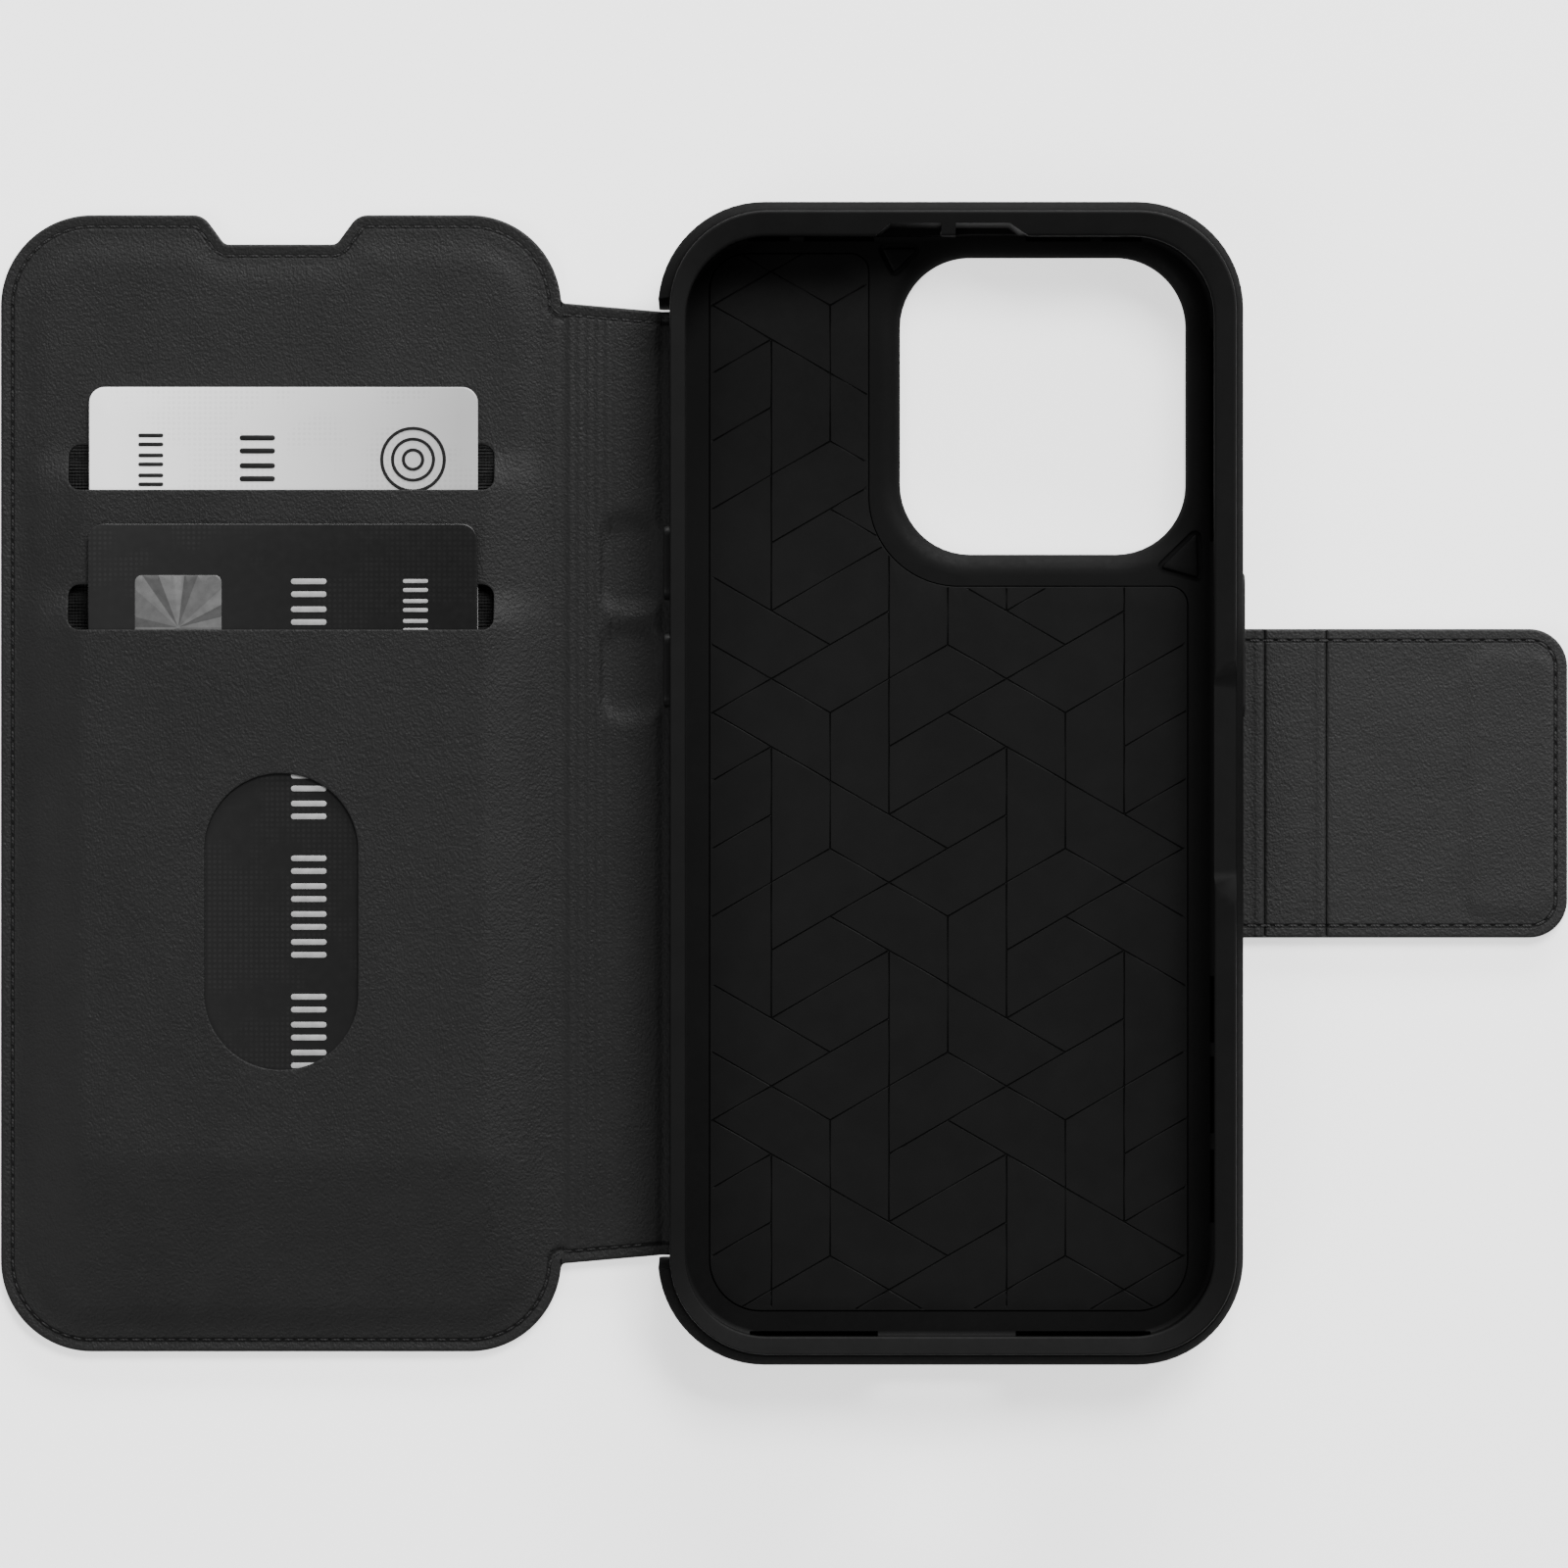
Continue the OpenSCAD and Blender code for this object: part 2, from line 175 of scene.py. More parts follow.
def rounded(points, radii, inset=0.0, fixed=(), step=0.8):
    """A closed anticlockwise outline with round corners, moved in by inset.

    fixed holds the edges, counted from their first point, that stay in place.
    """
    corners = [Vector(p) for p in points]
    count = len(corners)
    lines = []
    for i in range(count):
        shift = 0.0 if i in fixed else inset
        lines.append(moved_line(corners[i], corners[(i + 1) % count], shift))
    pieces = []
    for i in range(count):
        u, v = lines[i - 1][1], lines[i][1]
        corner = crossing(lines[i - 1], lines[i])
        way = 1 if u.x * v.y - u.y * v.x > 0 else -1
        turn = math.acos(max(-1.0, min(1.0, u.dot(v))))
        radius = radii[i] - way * inset
        if radii[i] == 0 or radius < 0.02:
            pieces.append([corner])
            continue
        start = corner - u * radius * math.tan(turn / 2)
        centre = start + Vector((-u.y, u.x)) * radius * way
        steps = max(3, math.ceil(radius * turn / min(step, ARC_STEP)))
        pieces.append(arc_points(start, centre, turn * way, steps))
    outline = []
    for i in range(count):
        outline.extend(pieces[i][:-1])
        outline.extend(spread(pieces[i][-1], pieces[(i + 1) % count][0], step))
    return np.array([(p.x, p.y) for p in outline])


def box_corners(x0, y0, x1, y1):
    """The four corners, anticlockwise."""
    return [(x0, y0), (x1, y0), (x1, y1), (x0, y1)]


def soft_box(box, radius, inset=0.0, step=0.8):
    """Outline of a rectangle with round corners, moved in by inset."""
    return rounded(box_corners(*box), [radius] * 4, inset, (), step)


def grown(box, by):
    """A rectangle (x0, y0, x1, y1) made larger on every side."""
    return (box[0] - by, box[1] - by, box[2] + by, box[3] + by)


def between(first, second, t):
    """The rectangle a share t of the way from one to another."""
    return tuple(a + (b - a) * t for a, b in zip(first, second))


# ---- fields


def smooth(value, low, high):
    """0 up to low, 1 from high, and an S-curve between them."""
    t = np.clip((value - low) / (high - low), 0, 1)
    return t * t * (3 - 2 * t)


def bell(value, centre, width):
    """A bell of height 1."""
    return np.exp(-(((value - centre) / width) ** 2))


def inside_box(x, y, box, radius):
    """Distance to a round-cornered rectangle's edge, positive inside."""
    x0, y0, x1, y1 = box
    qx = np.abs(x - (x0 + x1) / 2) - (x1 - x0) / 2 + radius
    qy = np.abs(y - (y0 + y1) / 2) - (y1 - y0) / 2 + radius
    outside = np.hypot(np.maximum(qx, 0), np.maximum(qy, 0))
    return radius - outside - np.minimum(np.maximum(qx, qy), 0)


def to_segments(points, starts, ends):
    """Distance from each point to the nearest of some segments."""
    best = np.full(len(points), FAR)
    if len(starts) == 0:
        return best
    along = (ends - starts)[None]
    length = np.maximum((along**2).sum(2), 1e-12)
    for i in range(0, len(points), 1000):
        p = points[i : i + 1000, None, :]
        t = np.clip(((p - starts[None]) * along).sum(2) / length, 0, 1)
        gap = p - (starts[None] + along * t[..., None])
        best[i : i + 1000] = np.sqrt((gap**2).sum(2).min(1))
    return best


def within(points, outline):
    """True for the points inside a closed outline."""
    x, y = points[:, 0], points[:, 1]
    inside = np.zeros(len(points), bool)
    for (ax, ay), (bx, by) in zip(outline, np.roll(outline, -1, 0)):
        if ay != by:
            straddles = (ay > y) != (by > y)
            inside ^= straddles & (x < (bx - ax) * (y - ay) / (by - ay) + ax)
    return inside


def waves(x, y, size, seed):
    """Slow, unrepeating unevenness between about -1 and 1."""
    rng = np.random.default_rng(seed)
    total = 0 * x
    for _ in range(6):
        angle, phase = rng.uniform(0, math.tau, 2)
        length = size * rng.uniform(0.6, 1.7)
        total += np.sin((x * math.cos(angle) + y * math.sin(angle)) * math.tau / length + phase)
    return total / 3.5


def edge_drop(depth, radius):
    """How far a rounded edge lies below the face at a distance from it."""
    t = np.clip(depth, 0, radius)
    return radius - np.sqrt(np.maximum(radius**2 - (radius - t) ** 2, 0))


def soft_top(z, radius):
    """A level top at z with a rounded edge, as the height of a sheet."""
    return lambda x, y, edge, hole: z - edge_drop(edge, radius)


def level(z):
    """A level face at z, as the height of a sheet."""
    return lambda x, y, edge, hole: z + 0 * x


# ---- meshes


def finish_shading(piece, angle):
    """Smooth shading with sharp edges where faces meet at more than angle."""
    piece.data.shade_smooth()
    piece.data.set_sharp_from_angle(angle=math.radians(angle))


def new_object(name, vertices, faces, materials, angle=40):
    """A smooth-shaded mesh object from points in millimetres."""
    mesh = bpy.data.meshes.new(name)
    mesh.from_pydata([tuple(v) for v in np.asarray(vertices, float) * MM], [], faces)
    mesh.update()
    piece = bpy.data.objects.new(name, mesh)
    bpy.context.scene.collection.objects.link(piece)
    finish_shading(piece, angle)
    for one in materials if isinstance(materials, list) else [materials]:
        mesh.materials.append(one)
    return piece


# Vectors keep single precision, so equal places can differ by less than this
SAME_MM = 0.001


class Sheet:
    """A flat sheet with holes, cut into triangles, to be given shaped faces.

    outline and each hole are functions of an inset that return closed
    outlines. rings and hole_rings are the insets that get a loop of edges.
    tucked is the x of an edge hidden under another piece: depths leave it out.
    """

    def __init__(self, outline, holes=(), rings=(), hole_rings=(), spacing=1.2,
                 lines=(), tucked=None):
        self.points, self.edges = [], []
        self.tucked = tucked
        self.outer = outline(0.0)
        self.holes = [hole(0.0) for hole in holes]
        self.add_line(self.outer, closed=True)
        for inset in rings:
            self.add_ring(outline(inset))
        for hole, loop in zip(holes, self.holes):
            self.add_line(loop, closed=True)
            for inset in hole_rings:
                self.add_line(hole(-inset), closed=True)
        for line in lines:
            self.add_line(line)
        self.add_grid(spacing, max([0.2, *rings]), max([0.2, *hole_rings]))
        self.triangulate()

    def add_line(self, line, closed=False):
        """Adds points in a row, joined by edges that the triangles keep."""
        first, count = len(self.points), len(line)
        self.points.extend(map(tuple, line))
        ends = count if closed else count - 1
        self.edges.extend((first + i, first + (i + 1) % count) for i in range(ends))

    def add_ring(self, ring):
        """Adds a loop of edges, without its stretch along the tucked edge."""
        if self.tucked is None:
            self.add_line(ring, closed=True)
            return
        hidden = np.abs(ring[:, 0] - self.tucked) < SAME_MM
        start = int(np.flatnonzero(hidden & ~np.roll(hidden, -1))[0])
        ring, hidden = np.roll(ring, -start, 0), np.roll(hidden, -start)
        self.add_line(ring[: 2 + int(np.argmax(hidden[1:]))])

    def depths(self, points):
        """Distances to the outer edge and to the nearest hole."""
        starts, ends = self.outer, np.roll(self.outer, -1, 0)
        if self.tucked is not None:
            shown = np.abs(starts[:, 0] - self.tucked) > SAME_MM
            shown |= np.abs(ends[:, 0] - self.tucked) > SAME_MM
            starts, ends = starts[shown], ends[shown]
        outer = to_segments(points, starts, ends)
        starts = np.array([p for hole in self.holes for p in hole]).reshape(-1, 2)
        ends = np.array([p for hole in self.holes for p in np.roll(hole, -1, 0)]).reshape(-1, 2)
        return outer, to_segments(points, starts, ends)

    def solid(self, points):
        """True for the points on the sheet and in none of its holes."""
        keep = within(points, self.outer)
        for hole in self.holes:
            keep &= ~within(points, hole)
        return keep

    def add_grid(self, spacing, ring_reach, hole_reach):
        """Fills the space between the rings with a square grid of points."""
        low, high = self.outer.min(0), self.outer.max(0)
        xs = np.arange(low[0] + spacing / 2, high[0], spacing)
        ys = np.arange(low[1] + spacing / 2, high[1], spacing)
        grid = np.array([(x, y) for x in xs for y in ys])
        grid = grid[self.solid(grid)]
        outer, hole = self.depths(grid)
        clear = 0.35 * spacing
        grid = grid[(outer > ring_reach + clear) & (hole > hole_reach + clear)]
        self.points.extend(map(tuple, grid))

    def triangulate(self):
        """Joins the points into triangles that all face up."""
        points = [Vector(p) for p in self.points]
        result = delaunay_2d_cdt(points, self.edges, [], 0, 1e-5)
        flat = np.array([(v.x, v.y) for v in result[0]])
        faces = np.array([f for f in result[2] if len(f) == 3])
        faces = faces[self.solid(flat[faces].mean(1))]
        a, b, c = (flat[faces[:, i]] for i in range(3))
        area = (b - a)[:, 0] * (c - a)[:, 1] - (b - a)[:, 1] * (c - a)[:, 0]
        faces = faces[np.abs(area) > 1e-9]
        turned = area[np.abs(area) > 1e-9] < 0
        faces[turned] = faces[turned][:, ::-1]
        self.flat, self.faces = flat, faces
        self.edge_depth, self.hole_depth = self.depths(flat)

    def build(self, name, top, bottom, materials, x0=-FAR, x1=FAR, pick=None, angle=40):
        """A closed solid from the triangles between two x. top and bottom
        give heights from x, y and the distances to the edge and the holes.
        pick gives the material index of each top face from the same facts."""
        middles = self.flat[self.faces].mean(1)
        chosen = self.faces[(middles[:, 0] > x0) & (middles[:, 0] < x1)]
        used, packed = np.unique(chosen, return_inverse=True)
        faces = packed.reshape(-1, 3)
        x, y = self.flat[used].T
        facts = (x, y, self.edge_depth[used], self.hole_depth[used])
        vertices = np.vstack([np.column_stack([x, y, face(*facts)]) for face in (top, bottom)])
        count = len(x)
        solid = [*faces.tolist(), *(faces[:, ::-1] + count).tolist()]
        sides = {(a, b) for f in faces.tolist() for a, b in zip(f, f[1:] + f[:1])}
        solid += [(b, a, a + count, b + count) for a, b in sides if (b, a) not in sides]
        piece = new_object(name, vertices, solid, materials, angle)
        if pick is not None:
            indices = np.zeros(len(solid), np.int32)
            indices[: len(faces)] = pick(*(fact[faces].mean(1) for fact in facts))
            piece.data.polygons.foreach_set("material_index", indices)
        return piece


def loft(rings, tube=False, first=0):
    """Faces that join a row of equal rings, capped unless they form a tube."""
    size, count = len(rings[0]), len(rings)
    faces = []
    for r in range(count if tube else count - 1):
        a, b = first + r * size, first + (r + 1) % count * size
        faces += [(a + i, a + (i + 1) % size, b + (i + 1) % size, b + i) for i in range(size)]
    if not tube:
        faces.append(tuple(range(first, first + size))[::-1])
        faces.append(tuple(range(first + (count - 1) * size, first + count * size)))
    return faces


# Edges of moulded pieces are sharp from this many degrees
MOULDED_ANGLE = 35


class Rings:
    """A body lofted through round-cornered rectangles at their heights."""

    def __init__(self, side_step=1.0, corner_steps=16):
        self.side_step = side_step
        self.corner_steps = corner_steps
        self.rings = []
        self.sides = None

    def add(self, box, radius, z):
        """Adds a ring at a height, with as many points as the first one."""
        x0, y0, x1, y1 = box
        if self.sides is None:
            lengths = (y1 - y0 - 2 * radius, x1 - x0 - 2 * radius)
            self.sides = [max(1, math.ceil(length / self.side_step)) for length in lengths]
        centres = [(x1 - radius, y0 + radius), (x1 - radius, y1 - radius),
                   (x0 + radius, y1 - radius), (x0 + radius, y0 + radius)]
        points = []
        for i, (cx, cy) in enumerate(centres):
            for j in range(self.corner_steps + 1):
                angle = math.radians(90 * (i - 1 + j / self.corner_steps))
                points.append((cx + radius * math.cos(angle), cy + radius * math.sin(angle), z))
            nx, ny = centres[(i + 1) % 4]
            angle = math.radians(90 * i)
            end = Vector((nx + radius * math.cos(angle), ny + radius * math.sin(angle), z))
            start = Vector(points[-1])
            steps = self.sides[i % 2]
            points.extend(tuple(start.lerp(end, j / steps)) for j in range(1, steps))
        self.rings.append(points)

    def build(self, name, materials, tube=False):
        """A closed solid: capped at both ends, or a tube joined to itself."""
        vertices = np.vstack(self.rings)
        return new_object(name, vertices, loft(self.rings, tube), materials, MOULDED_ANGLE)


def prism(outline, z0, z1, turn=None):
    """A closed prism over an anticlockwise outline, for cutting."""
    rings = [[(x, y, z) for x, y in outline] for z in (z0, z1)]
    vertices = [turn(*v) if turn else v for ring in rings for v in ring]
    return new_object("cutter", vertices, loft(rings), [])


def along_x(u, v, w):
    """Turns a prism so that its outline lies in Y and Z, and runs along X."""
    return (w, u, v)


def along_y(u, v, w):
    """Turns a prism so that its outline lies in X and Z, and runs along Y."""
    return (u, -w, v)


def carve(piece, cutters):
    """Cuts other closed pieces out of one, and deletes them."""
    for cutter in cutters:
        modifier = piece.modifiers.new("cut", "BOOLEAN")
        modifier.operation = "DIFFERENCE"
        modifier.solver = "EXACT"
        modifier.object = cutter
        with bpy.context.temp_override(object=piece, active_object=piece):
            bpy.ops.object.modifier_apply(modifier=modifier.name)
        mesh = cutter.data
        bpy.data.objects.remove(cutter)
        bpy.data.meshes.remove(mesh)
    finish_shading(piece, MOULDED_ANGLE)


def settle(piece, body, slot, *nodes):
    """Sets the body that a piece rides on and hides the nodes it replaces. slot is not used."""
    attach(piece, body)
    if nodes:
        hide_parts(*nodes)


# ---- materials


class Look:
    """A material under construction: nodes on one principled shader."""

    def __init__(self, name, **constants):
        self.material = bpy.data.materials.new(name)
        self.material.use_nodes = True
        self.nodes = self.material.node_tree.nodes
        self.links = self.material.node_tree.links
        self.shader = self.nodes["Principled BSDF"]
        self.place = self.nodes.new("ShaderNodeTexCoord").outputs["Object"]
        self.normal = None
        for socket, value in constants.items():
            self.set(socket.replace("_", " "), value)

    def node(self, kind, sockets, **settings):
        """A new node, with each socket linked to an output or set to a value."""
        node = self.nodes.new(kind)
        for setting, value in settings.items():
            setattr(node, setting, value)
        for socket, value in sockets.items():
            self.feed(node.inputs[socket], value)
        return node

    def feed(self, socket, value):
        """Links a socket to an output, or sets it to a value."""
        if isinstance(value, bpy.types.NodeSocket):
            self.links.new(value, socket)
        else:
            socket.default_value = value

    def texture(self, kind, per_mm, stretch, sockets, **settings):
        """A texture node with this many features to a millimetre."""
        mapping = self.node("ShaderNodeMapping", {"Vector": self.place, "Scale": stretch})
        sockets = {"Vector": mapping.outputs["Vector"], "Scale": per_mm / MM, **sockets}
        return self.node(kind, sockets, **settings)

    def noise(self, per_mm, detail=3.0, rough=0.55, stretch=(1, 1, 1), warp=0.0):
        """The value of a noise texture."""
        sockets = {"Detail": detail, "Roughness": rough, "Distortion": warp}
        return self.texture("ShaderNodeTexNoise", per_mm, stretch, sockets).outputs["Fac"]

    def cells(self, per_mm, stretch):
        """The distance to the cells of a soft-edged cell texture."""
        node = self.texture("ShaderNodeTexVoronoi", per_mm, stretch, {}, feature="SMOOTH_F1")
        return node.outputs["Distance"]

    def stripes(self, per_mm, direction, warp):
        """A wave texture with this many stripes to a millimetre."""
        scale = per_mm / MM * math.tau / 20
        sockets = {"Vector": self.place, "Scale": scale, "Distortion": warp}
        return self.node("ShaderNodeTexWave", sockets, bands_direction=direction).outputs["Fac"]

    def ramp(self, source, *stops):
        """Grey levels along a texture's value."""
        node = self.node("ShaderNodeValToRGB", {"Fac": source})
        elements = node.color_ramp.elements
        for element, (at, grey) in zip(elements, stops):
            element.position = at
            element.color = (grey, grey, grey, 1)
        return node.outputs["Color"]

    def remap(self, source, low, high, start=0.3, end=0.7):
        """A texture's value from start to end, mapped from low to high."""
        sockets = {"Value": source, "From Min": start, "From Max": end, "To Min": low, "To Max": high}
        return self.node("ShaderNodeMapRange", sockets).outputs["Result"]

    def along(self, axis, start_mm, end_mm):
        """0 to 1 along an axis, between two places."""
        node = self.node("ShaderNodeSeparateXYZ", {"Vector": self.place})
        return self.remap(node.outputs[axis], 0, 1, start_mm * MM, end_mm * MM)

    def dots(self, pitch_mm, share):
        """1 on round dots in a square grid, share times the pitch in radius."""
        sockets = {"Vector": self.place, "Scale": 1 / (pitch_mm * MM), "Randomness": 0}
        node = self.node("ShaderNodeTexVoronoi", sockets, voronoi_dimensions="2D")
        return self.remap(node.outputs["Distance"], 1, 0, share * 0.8, share * 1.2)

    def times(self, first, second):
        """The product of two values."""
        return self.node("ShaderNodeMath", {0: first, 1: second}, operation="MULTIPLY").outputs["Value"]

    def tinted(self, colour, share, gain):
        """A colour that is gain times as bright where share is 1."""
        sockets = {0: colour, "Scale": self.remap(share, 1, gain, 0, 1)}
        return self.node("ShaderNodeVectorMath", sockets, operation="SCALE").outputs["Vector"]

    def set(self, socket, source):
        """Feeds a socket of the shader."""
        self.feed(self.shader.inputs[socket], source)

    def bump(self, height, depth_mm):
        """Adds relief of this depth to the surface."""
        sockets = {"Height": height, "Distance": depth_mm * MM}
        if self.normal is not None:
            sockets["Normal"] = self.normal
        self.normal = self.node("ShaderNodeBump", sockets).outputs["Normal"]
        self.set("Normal", self.normal)


def leather(name, dark, light, rough, pebble=0.03):
    """Fine-grained leather between a dark and a light tone."""
    look = Look(name, Specular_IOR_Level=0.16)
    blotches = look.noise(0.12, 4, 0.6)
    look.set("Base Color", look.ramp(blotches, (0.25, dark), (0.75, light)))
    look.set("Roughness", look.remap(look.noise(0.9, 3), rough - 0.05, rough + 0.09))
    look.bump(look.cells(3.0, (1, 0.8, 1)), pebble * 2.2)
    look.bump(look.noise(4.4, 2, 0.6, (1, 0.7, 1)), pebble * 3.2)
    look.bump(look.noise(1.1, 2, 0.5, (0.7, 1, 1), 0.6), pebble * 0.9)
    return look.material


def plastic(name, tone, rough, speckle, depth, shine=0.22, low_shade=1.0):
    """Moulded plastic or rubber with a fine even texture. low_shade is how much
    darker its low faces are: painted shade, darker towards the floor."""
    look = Look(name, Specular_IOR_Level=shine)
    colour = look.ramp(look.noise(0.2, 2), (0.35, tone * 0.9), (0.7, tone * 1.12))
    # Painted shade: the colour darkens from 9 mm down to 3 mm high
    if low_shade < 1:
        colour = look.tinted(colour, look.along("Z", 9, 3), low_shade)
    look.set("Base Color", colour)
    look.set("Roughness", look.remap(look.noise(1.5, 4), rough - 0.04, rough + 0.06))
    look.bump(look.noise(speckle, 2, 0.5), depth)
    look.bump(look.noise(0.3, 2), depth * 1.5)
    return look.material


def woven(name, tone, thread_mm):
    """Plain weave of crossing threads."""
    look = Look(name, Roughness=0.9, Specular_IOR_Level=0.2)
    look.set("Base Color", look.ramp(look.noise(1.2, 3), (0.3, tone * 0.5), (0.75, tone * 1.6)))
    look.bump(look.stripes(1 / thread_mm, "X", 0.6), 0.12)
    look.bump(look.stripes(1 / thread_mm, "Y", 0.6), 0.12)
    look.bump(look.noise(6, 3), 0.03)
    return look.material


def sewing_thread(name, tone):
    """Twisted thread, lighter where it is worn."""
    look = Look(name, Roughness=0.75, Specular_IOR_Level=0.15)
    look.set("Base Color", look.ramp(look.noise(1.3, 3), (0.3, tone * 0.7), (0.7, tone * 1.25)))
    look.bump(look.stripes(4.5, "DIAGONAL", 0.4), 0.05)
    look.bump(look.noise(9, 2), 0.02)
    return look.material


def metal(name, tone, rough):
    """Brushed plate."""
    look = Look(name, Metallic=1.0)
    look.set("Base Color", look.ramp(look.noise(0.6, 3), (0.3, tone * 0.85), (0.7, tone)))
    look.set("Roughness", look.remap(look.noise(2, 3, 0.6, (0.05, 1, 1)), rough, rough + 0.12))
    look.bump(look.noise(4, 2, 0.5, (0.04, 1, 1)), 0.01)
    return look.material


OUTER_LEATHER = leather("outer_leather", 0.0085, 0.0105, 0.55)
INNER_LEATHER = leather("inner_leather", 0.0088, 0.011, 0.52)
# Painted light: a lighter copy of the same leather for the strap
STRAP_LIT_LEATHER = leather("strap_leather_lit", 0.0135, 0.016, 0.52)
# Painted shade for the stitch channels and the strap's creases
SEAM_SHADE_LEATHER = leather("seam_shade_leather", 0.0015, 0.003, 0.7)
# Its last argument paints shade on the tray's low faces
TRAY_PLASTIC = plastic("shell_plastic", 0.0034, 0.58, 5.0, 0.006, 0.08, 0.7)
BUTTON_PLASTIC = plastic("button_plastic", 0.005, 0.45, 4.0, 0.004, 0.15)
RUBBER = plastic("bumper_rubber", 0.0032, 0.62, 4.0, 0.01, 0.04)
LINER_PLASTIC = plastic("liner_plastic", 0.0038, 0.64, 6.0, 0.008, 0.08)
# Painted shade for the bottoms of the liner's grooves
GROOVE_SHADE_PLASTIC = plastic("liner_groove_shade", 0.001, 0.8, 6.0, 0.008, 0.05)
WEAVE = woven("pocket_weave", 0.005, 0.42)
BOARD_FIBRE = plastic("board_fibre", 0.02, 0.85, 2.0, 0.04)
STEEL = metal("keeper_steel", 0.55, 0.3)
MAGNET_PLATE = metal("magnet_plate", 0.35, 0.4)
# Painted light: the strap's thread is a lighter copy to match
STRAP_LIT_THREAD = sewing_thread("strap_thread_lit", 0.018)
COVER_THREAD = sewing_thread("cover_thread", 0.014)


DOT_PITCH = 0.7


def card_material(name, left, right, shine, dot_gain):
    """Card plastic with a painted highlight on the left that fades to painted
    shade on the right, with faint patches of printed dots."""
    look = Look(name, Specular_IOR_Level=shine, Coat_Weight=0.12, Coat_Roughness=0.15)
    # Painted highlight on the left fading to painted shade on the right
    base = look.ramp(look.along("X", UPPER_CARD.x0, UPPER_CARD.x1), (0.05, left), (0.95, right))
    patches = look.remap(look.noise(0.055, 3, 0.55), 0, 1, 0.5, 0.54)
    dots = look.times(look.dots(DOT_PITCH, 0.3), patches)
    look.set("Base Color", look.tinted(base, dots, dot_gain))
    look.set("Roughness", look.remap(look.noise(0.8, 3), 0.3, 0.38))
    look.bump(look.noise(1.1, 2), 0.004)
    return look.material


def printed(name, tone, rough=0.35):
    """Satin ink or foil."""
    look = Look(name, Specular_IOR_Level=0.3)
    look.set("Base Color", look.ramp(look.noise(0.8, 3), (0.3, tone * 0.85), (0.7, tone * 1.12)))
    look.set("Roughness", look.remap(look.noise(2, 3), rough, rough + 0.08))
    look.bump(look.noise(5, 2), 0.004)
    return look.material


SILVER_CARD = card_material("card_silver", 0.93, 0.36, 0.3, 0.9)
SILVER_MARK = printed("card_silver_mark", 0.006)
BLACK_CARD = card_material("card_black", 0.0135, 0.0055, 0.15, 1.35)
BLACK_MARK = printed("card_black_mark", 0.3)
FOILS = [printed(f"card_foil_{i}", tone, 0.25) for i, tone in enumerate((0.1, 0.08, 0.055))]


# ---- leather

# Thickness of the outer and the inner leather, and the radius of their edges
OUTER_T = 0.6
SHEET_T = 0.3
EDGE_R = 0.28
STITCH_IN = 1.6
# Insets of the loops of edges that shape the border and its seam
SEAM_RINGS = (0.06, 0.16, 0.3, 0.5, 0.9, 1.18, 1.32, 1.6, 1.88, 2.05, 2.5, 3.1)

# The cover's edge by the spine, and half the length in Y of the spine at the
# shell and at the cover, and of the strap
HINGE_EDGE = -29.96
SPINE_HY = (63.4, 64.6)
STRAP_HY = FLAP.y1
NOTCH_X = (BOARD.cx - 10.5, BOARD.cx + 10.3)
NOTCH_BOTTOM = COVER.y1 - 3.94
COVER_R = 12.25
TRAY_R = 13.0
BACK_R = 12.4
STRAP_R = 5.1

# The leather is cut at places with one joint's fold line on each side
SPINE_MIDDLE = (FOLD["spine_fold"] + FOLD["cover_fold"]) / 2
SHELL_CUTS = (TRAY.x0 + 3.2, TRAY.x1 - 1.1)
SIDE_MIDDLE = (FOLD["latch_lift"] + FOLD["latch_fold"]) / 2
# How far to each side of its fold line the outer leather gets extra lines of edges
BEND = {"spine_fold": 1.3, "cover_fold": 1.9, "latch_lift": 1.4, "latch_fold": 1.4}

LEFT = COVER.x0
COVER_EDGE = [
    ((LEFT, COVER.y0), COVER_R),
    ((HINGE_EDGE, COVER.y0), COVER_R),
    ((HINGE_EDGE, -SPINE_HY[1]), 0.6),
    ((FOLD["spine_fold"], -SPINE_HY[0]), 0),
]
NOTCH_EDGE = [
    ((FOLD["spine_fold"], SPINE_HY[0]), 0),
    ((HINGE_EDGE, SPINE_HY[1]), 0.6),
    ((HINGE_EDGE, COVER.y1), COVER_R),
    ((NOTCH_X[1], COVER.y1), 2.6),
    ((NOTCH_X[1] - 2.9, NOTCH_BOTTOM), 1.2),
    ((NOTCH_X[0] + 2.9, NOTCH_BOTTOM), 1.2),
    ((NOTCH_X[0], COVER.y1), 2.6),
    ((LEFT, COVER.y1), COVER_R),
]
BACK_EDGE = [
    ((TRAY.x0, -SPINE_HY[0]), 0),
    ((TRAY.x0, TRAY.y0), BACK_R),
    ((TRAY.x1, TRAY.y0), TRAY_R),
    ((TRAY.x1, -STRAP_HY), 0.6),
    ((FLAP.x1, -STRAP_HY), STRAP_R),
    ((FLAP.x1, STRAP_HY), STRAP_R),
    ((TRAY.x1, STRAP_HY), 0.6),
    ((TRAY.x1, TRAY.y1), TRAY_R),
    ((TRAY.x0, TRAY.y1), BACK_R),
    ((TRAY.x0, SPINE_HY[0]), 0),
]


def outline_of(corners, fixed=()):
    """An outline, as a function of the inset."""
    points = [point for point, _ in corners]
    radii = [radius for _, radius in corners]
    return lambda inset: rounded(points, radii, inset, fixed)


def box_outline(box, radius):
    """A round-cornered rectangle, as a function of the inset."""
    return lambda inset: soft_box(box, radius, inset)


def upright(x, y0, y1, step=1.0):
    """Points on a line along Y."""
    count = math.ceil((y1 - y0) / step)
    return [(x, y0 + (y1 - y0) * i / count) for i in range(count + 1)]


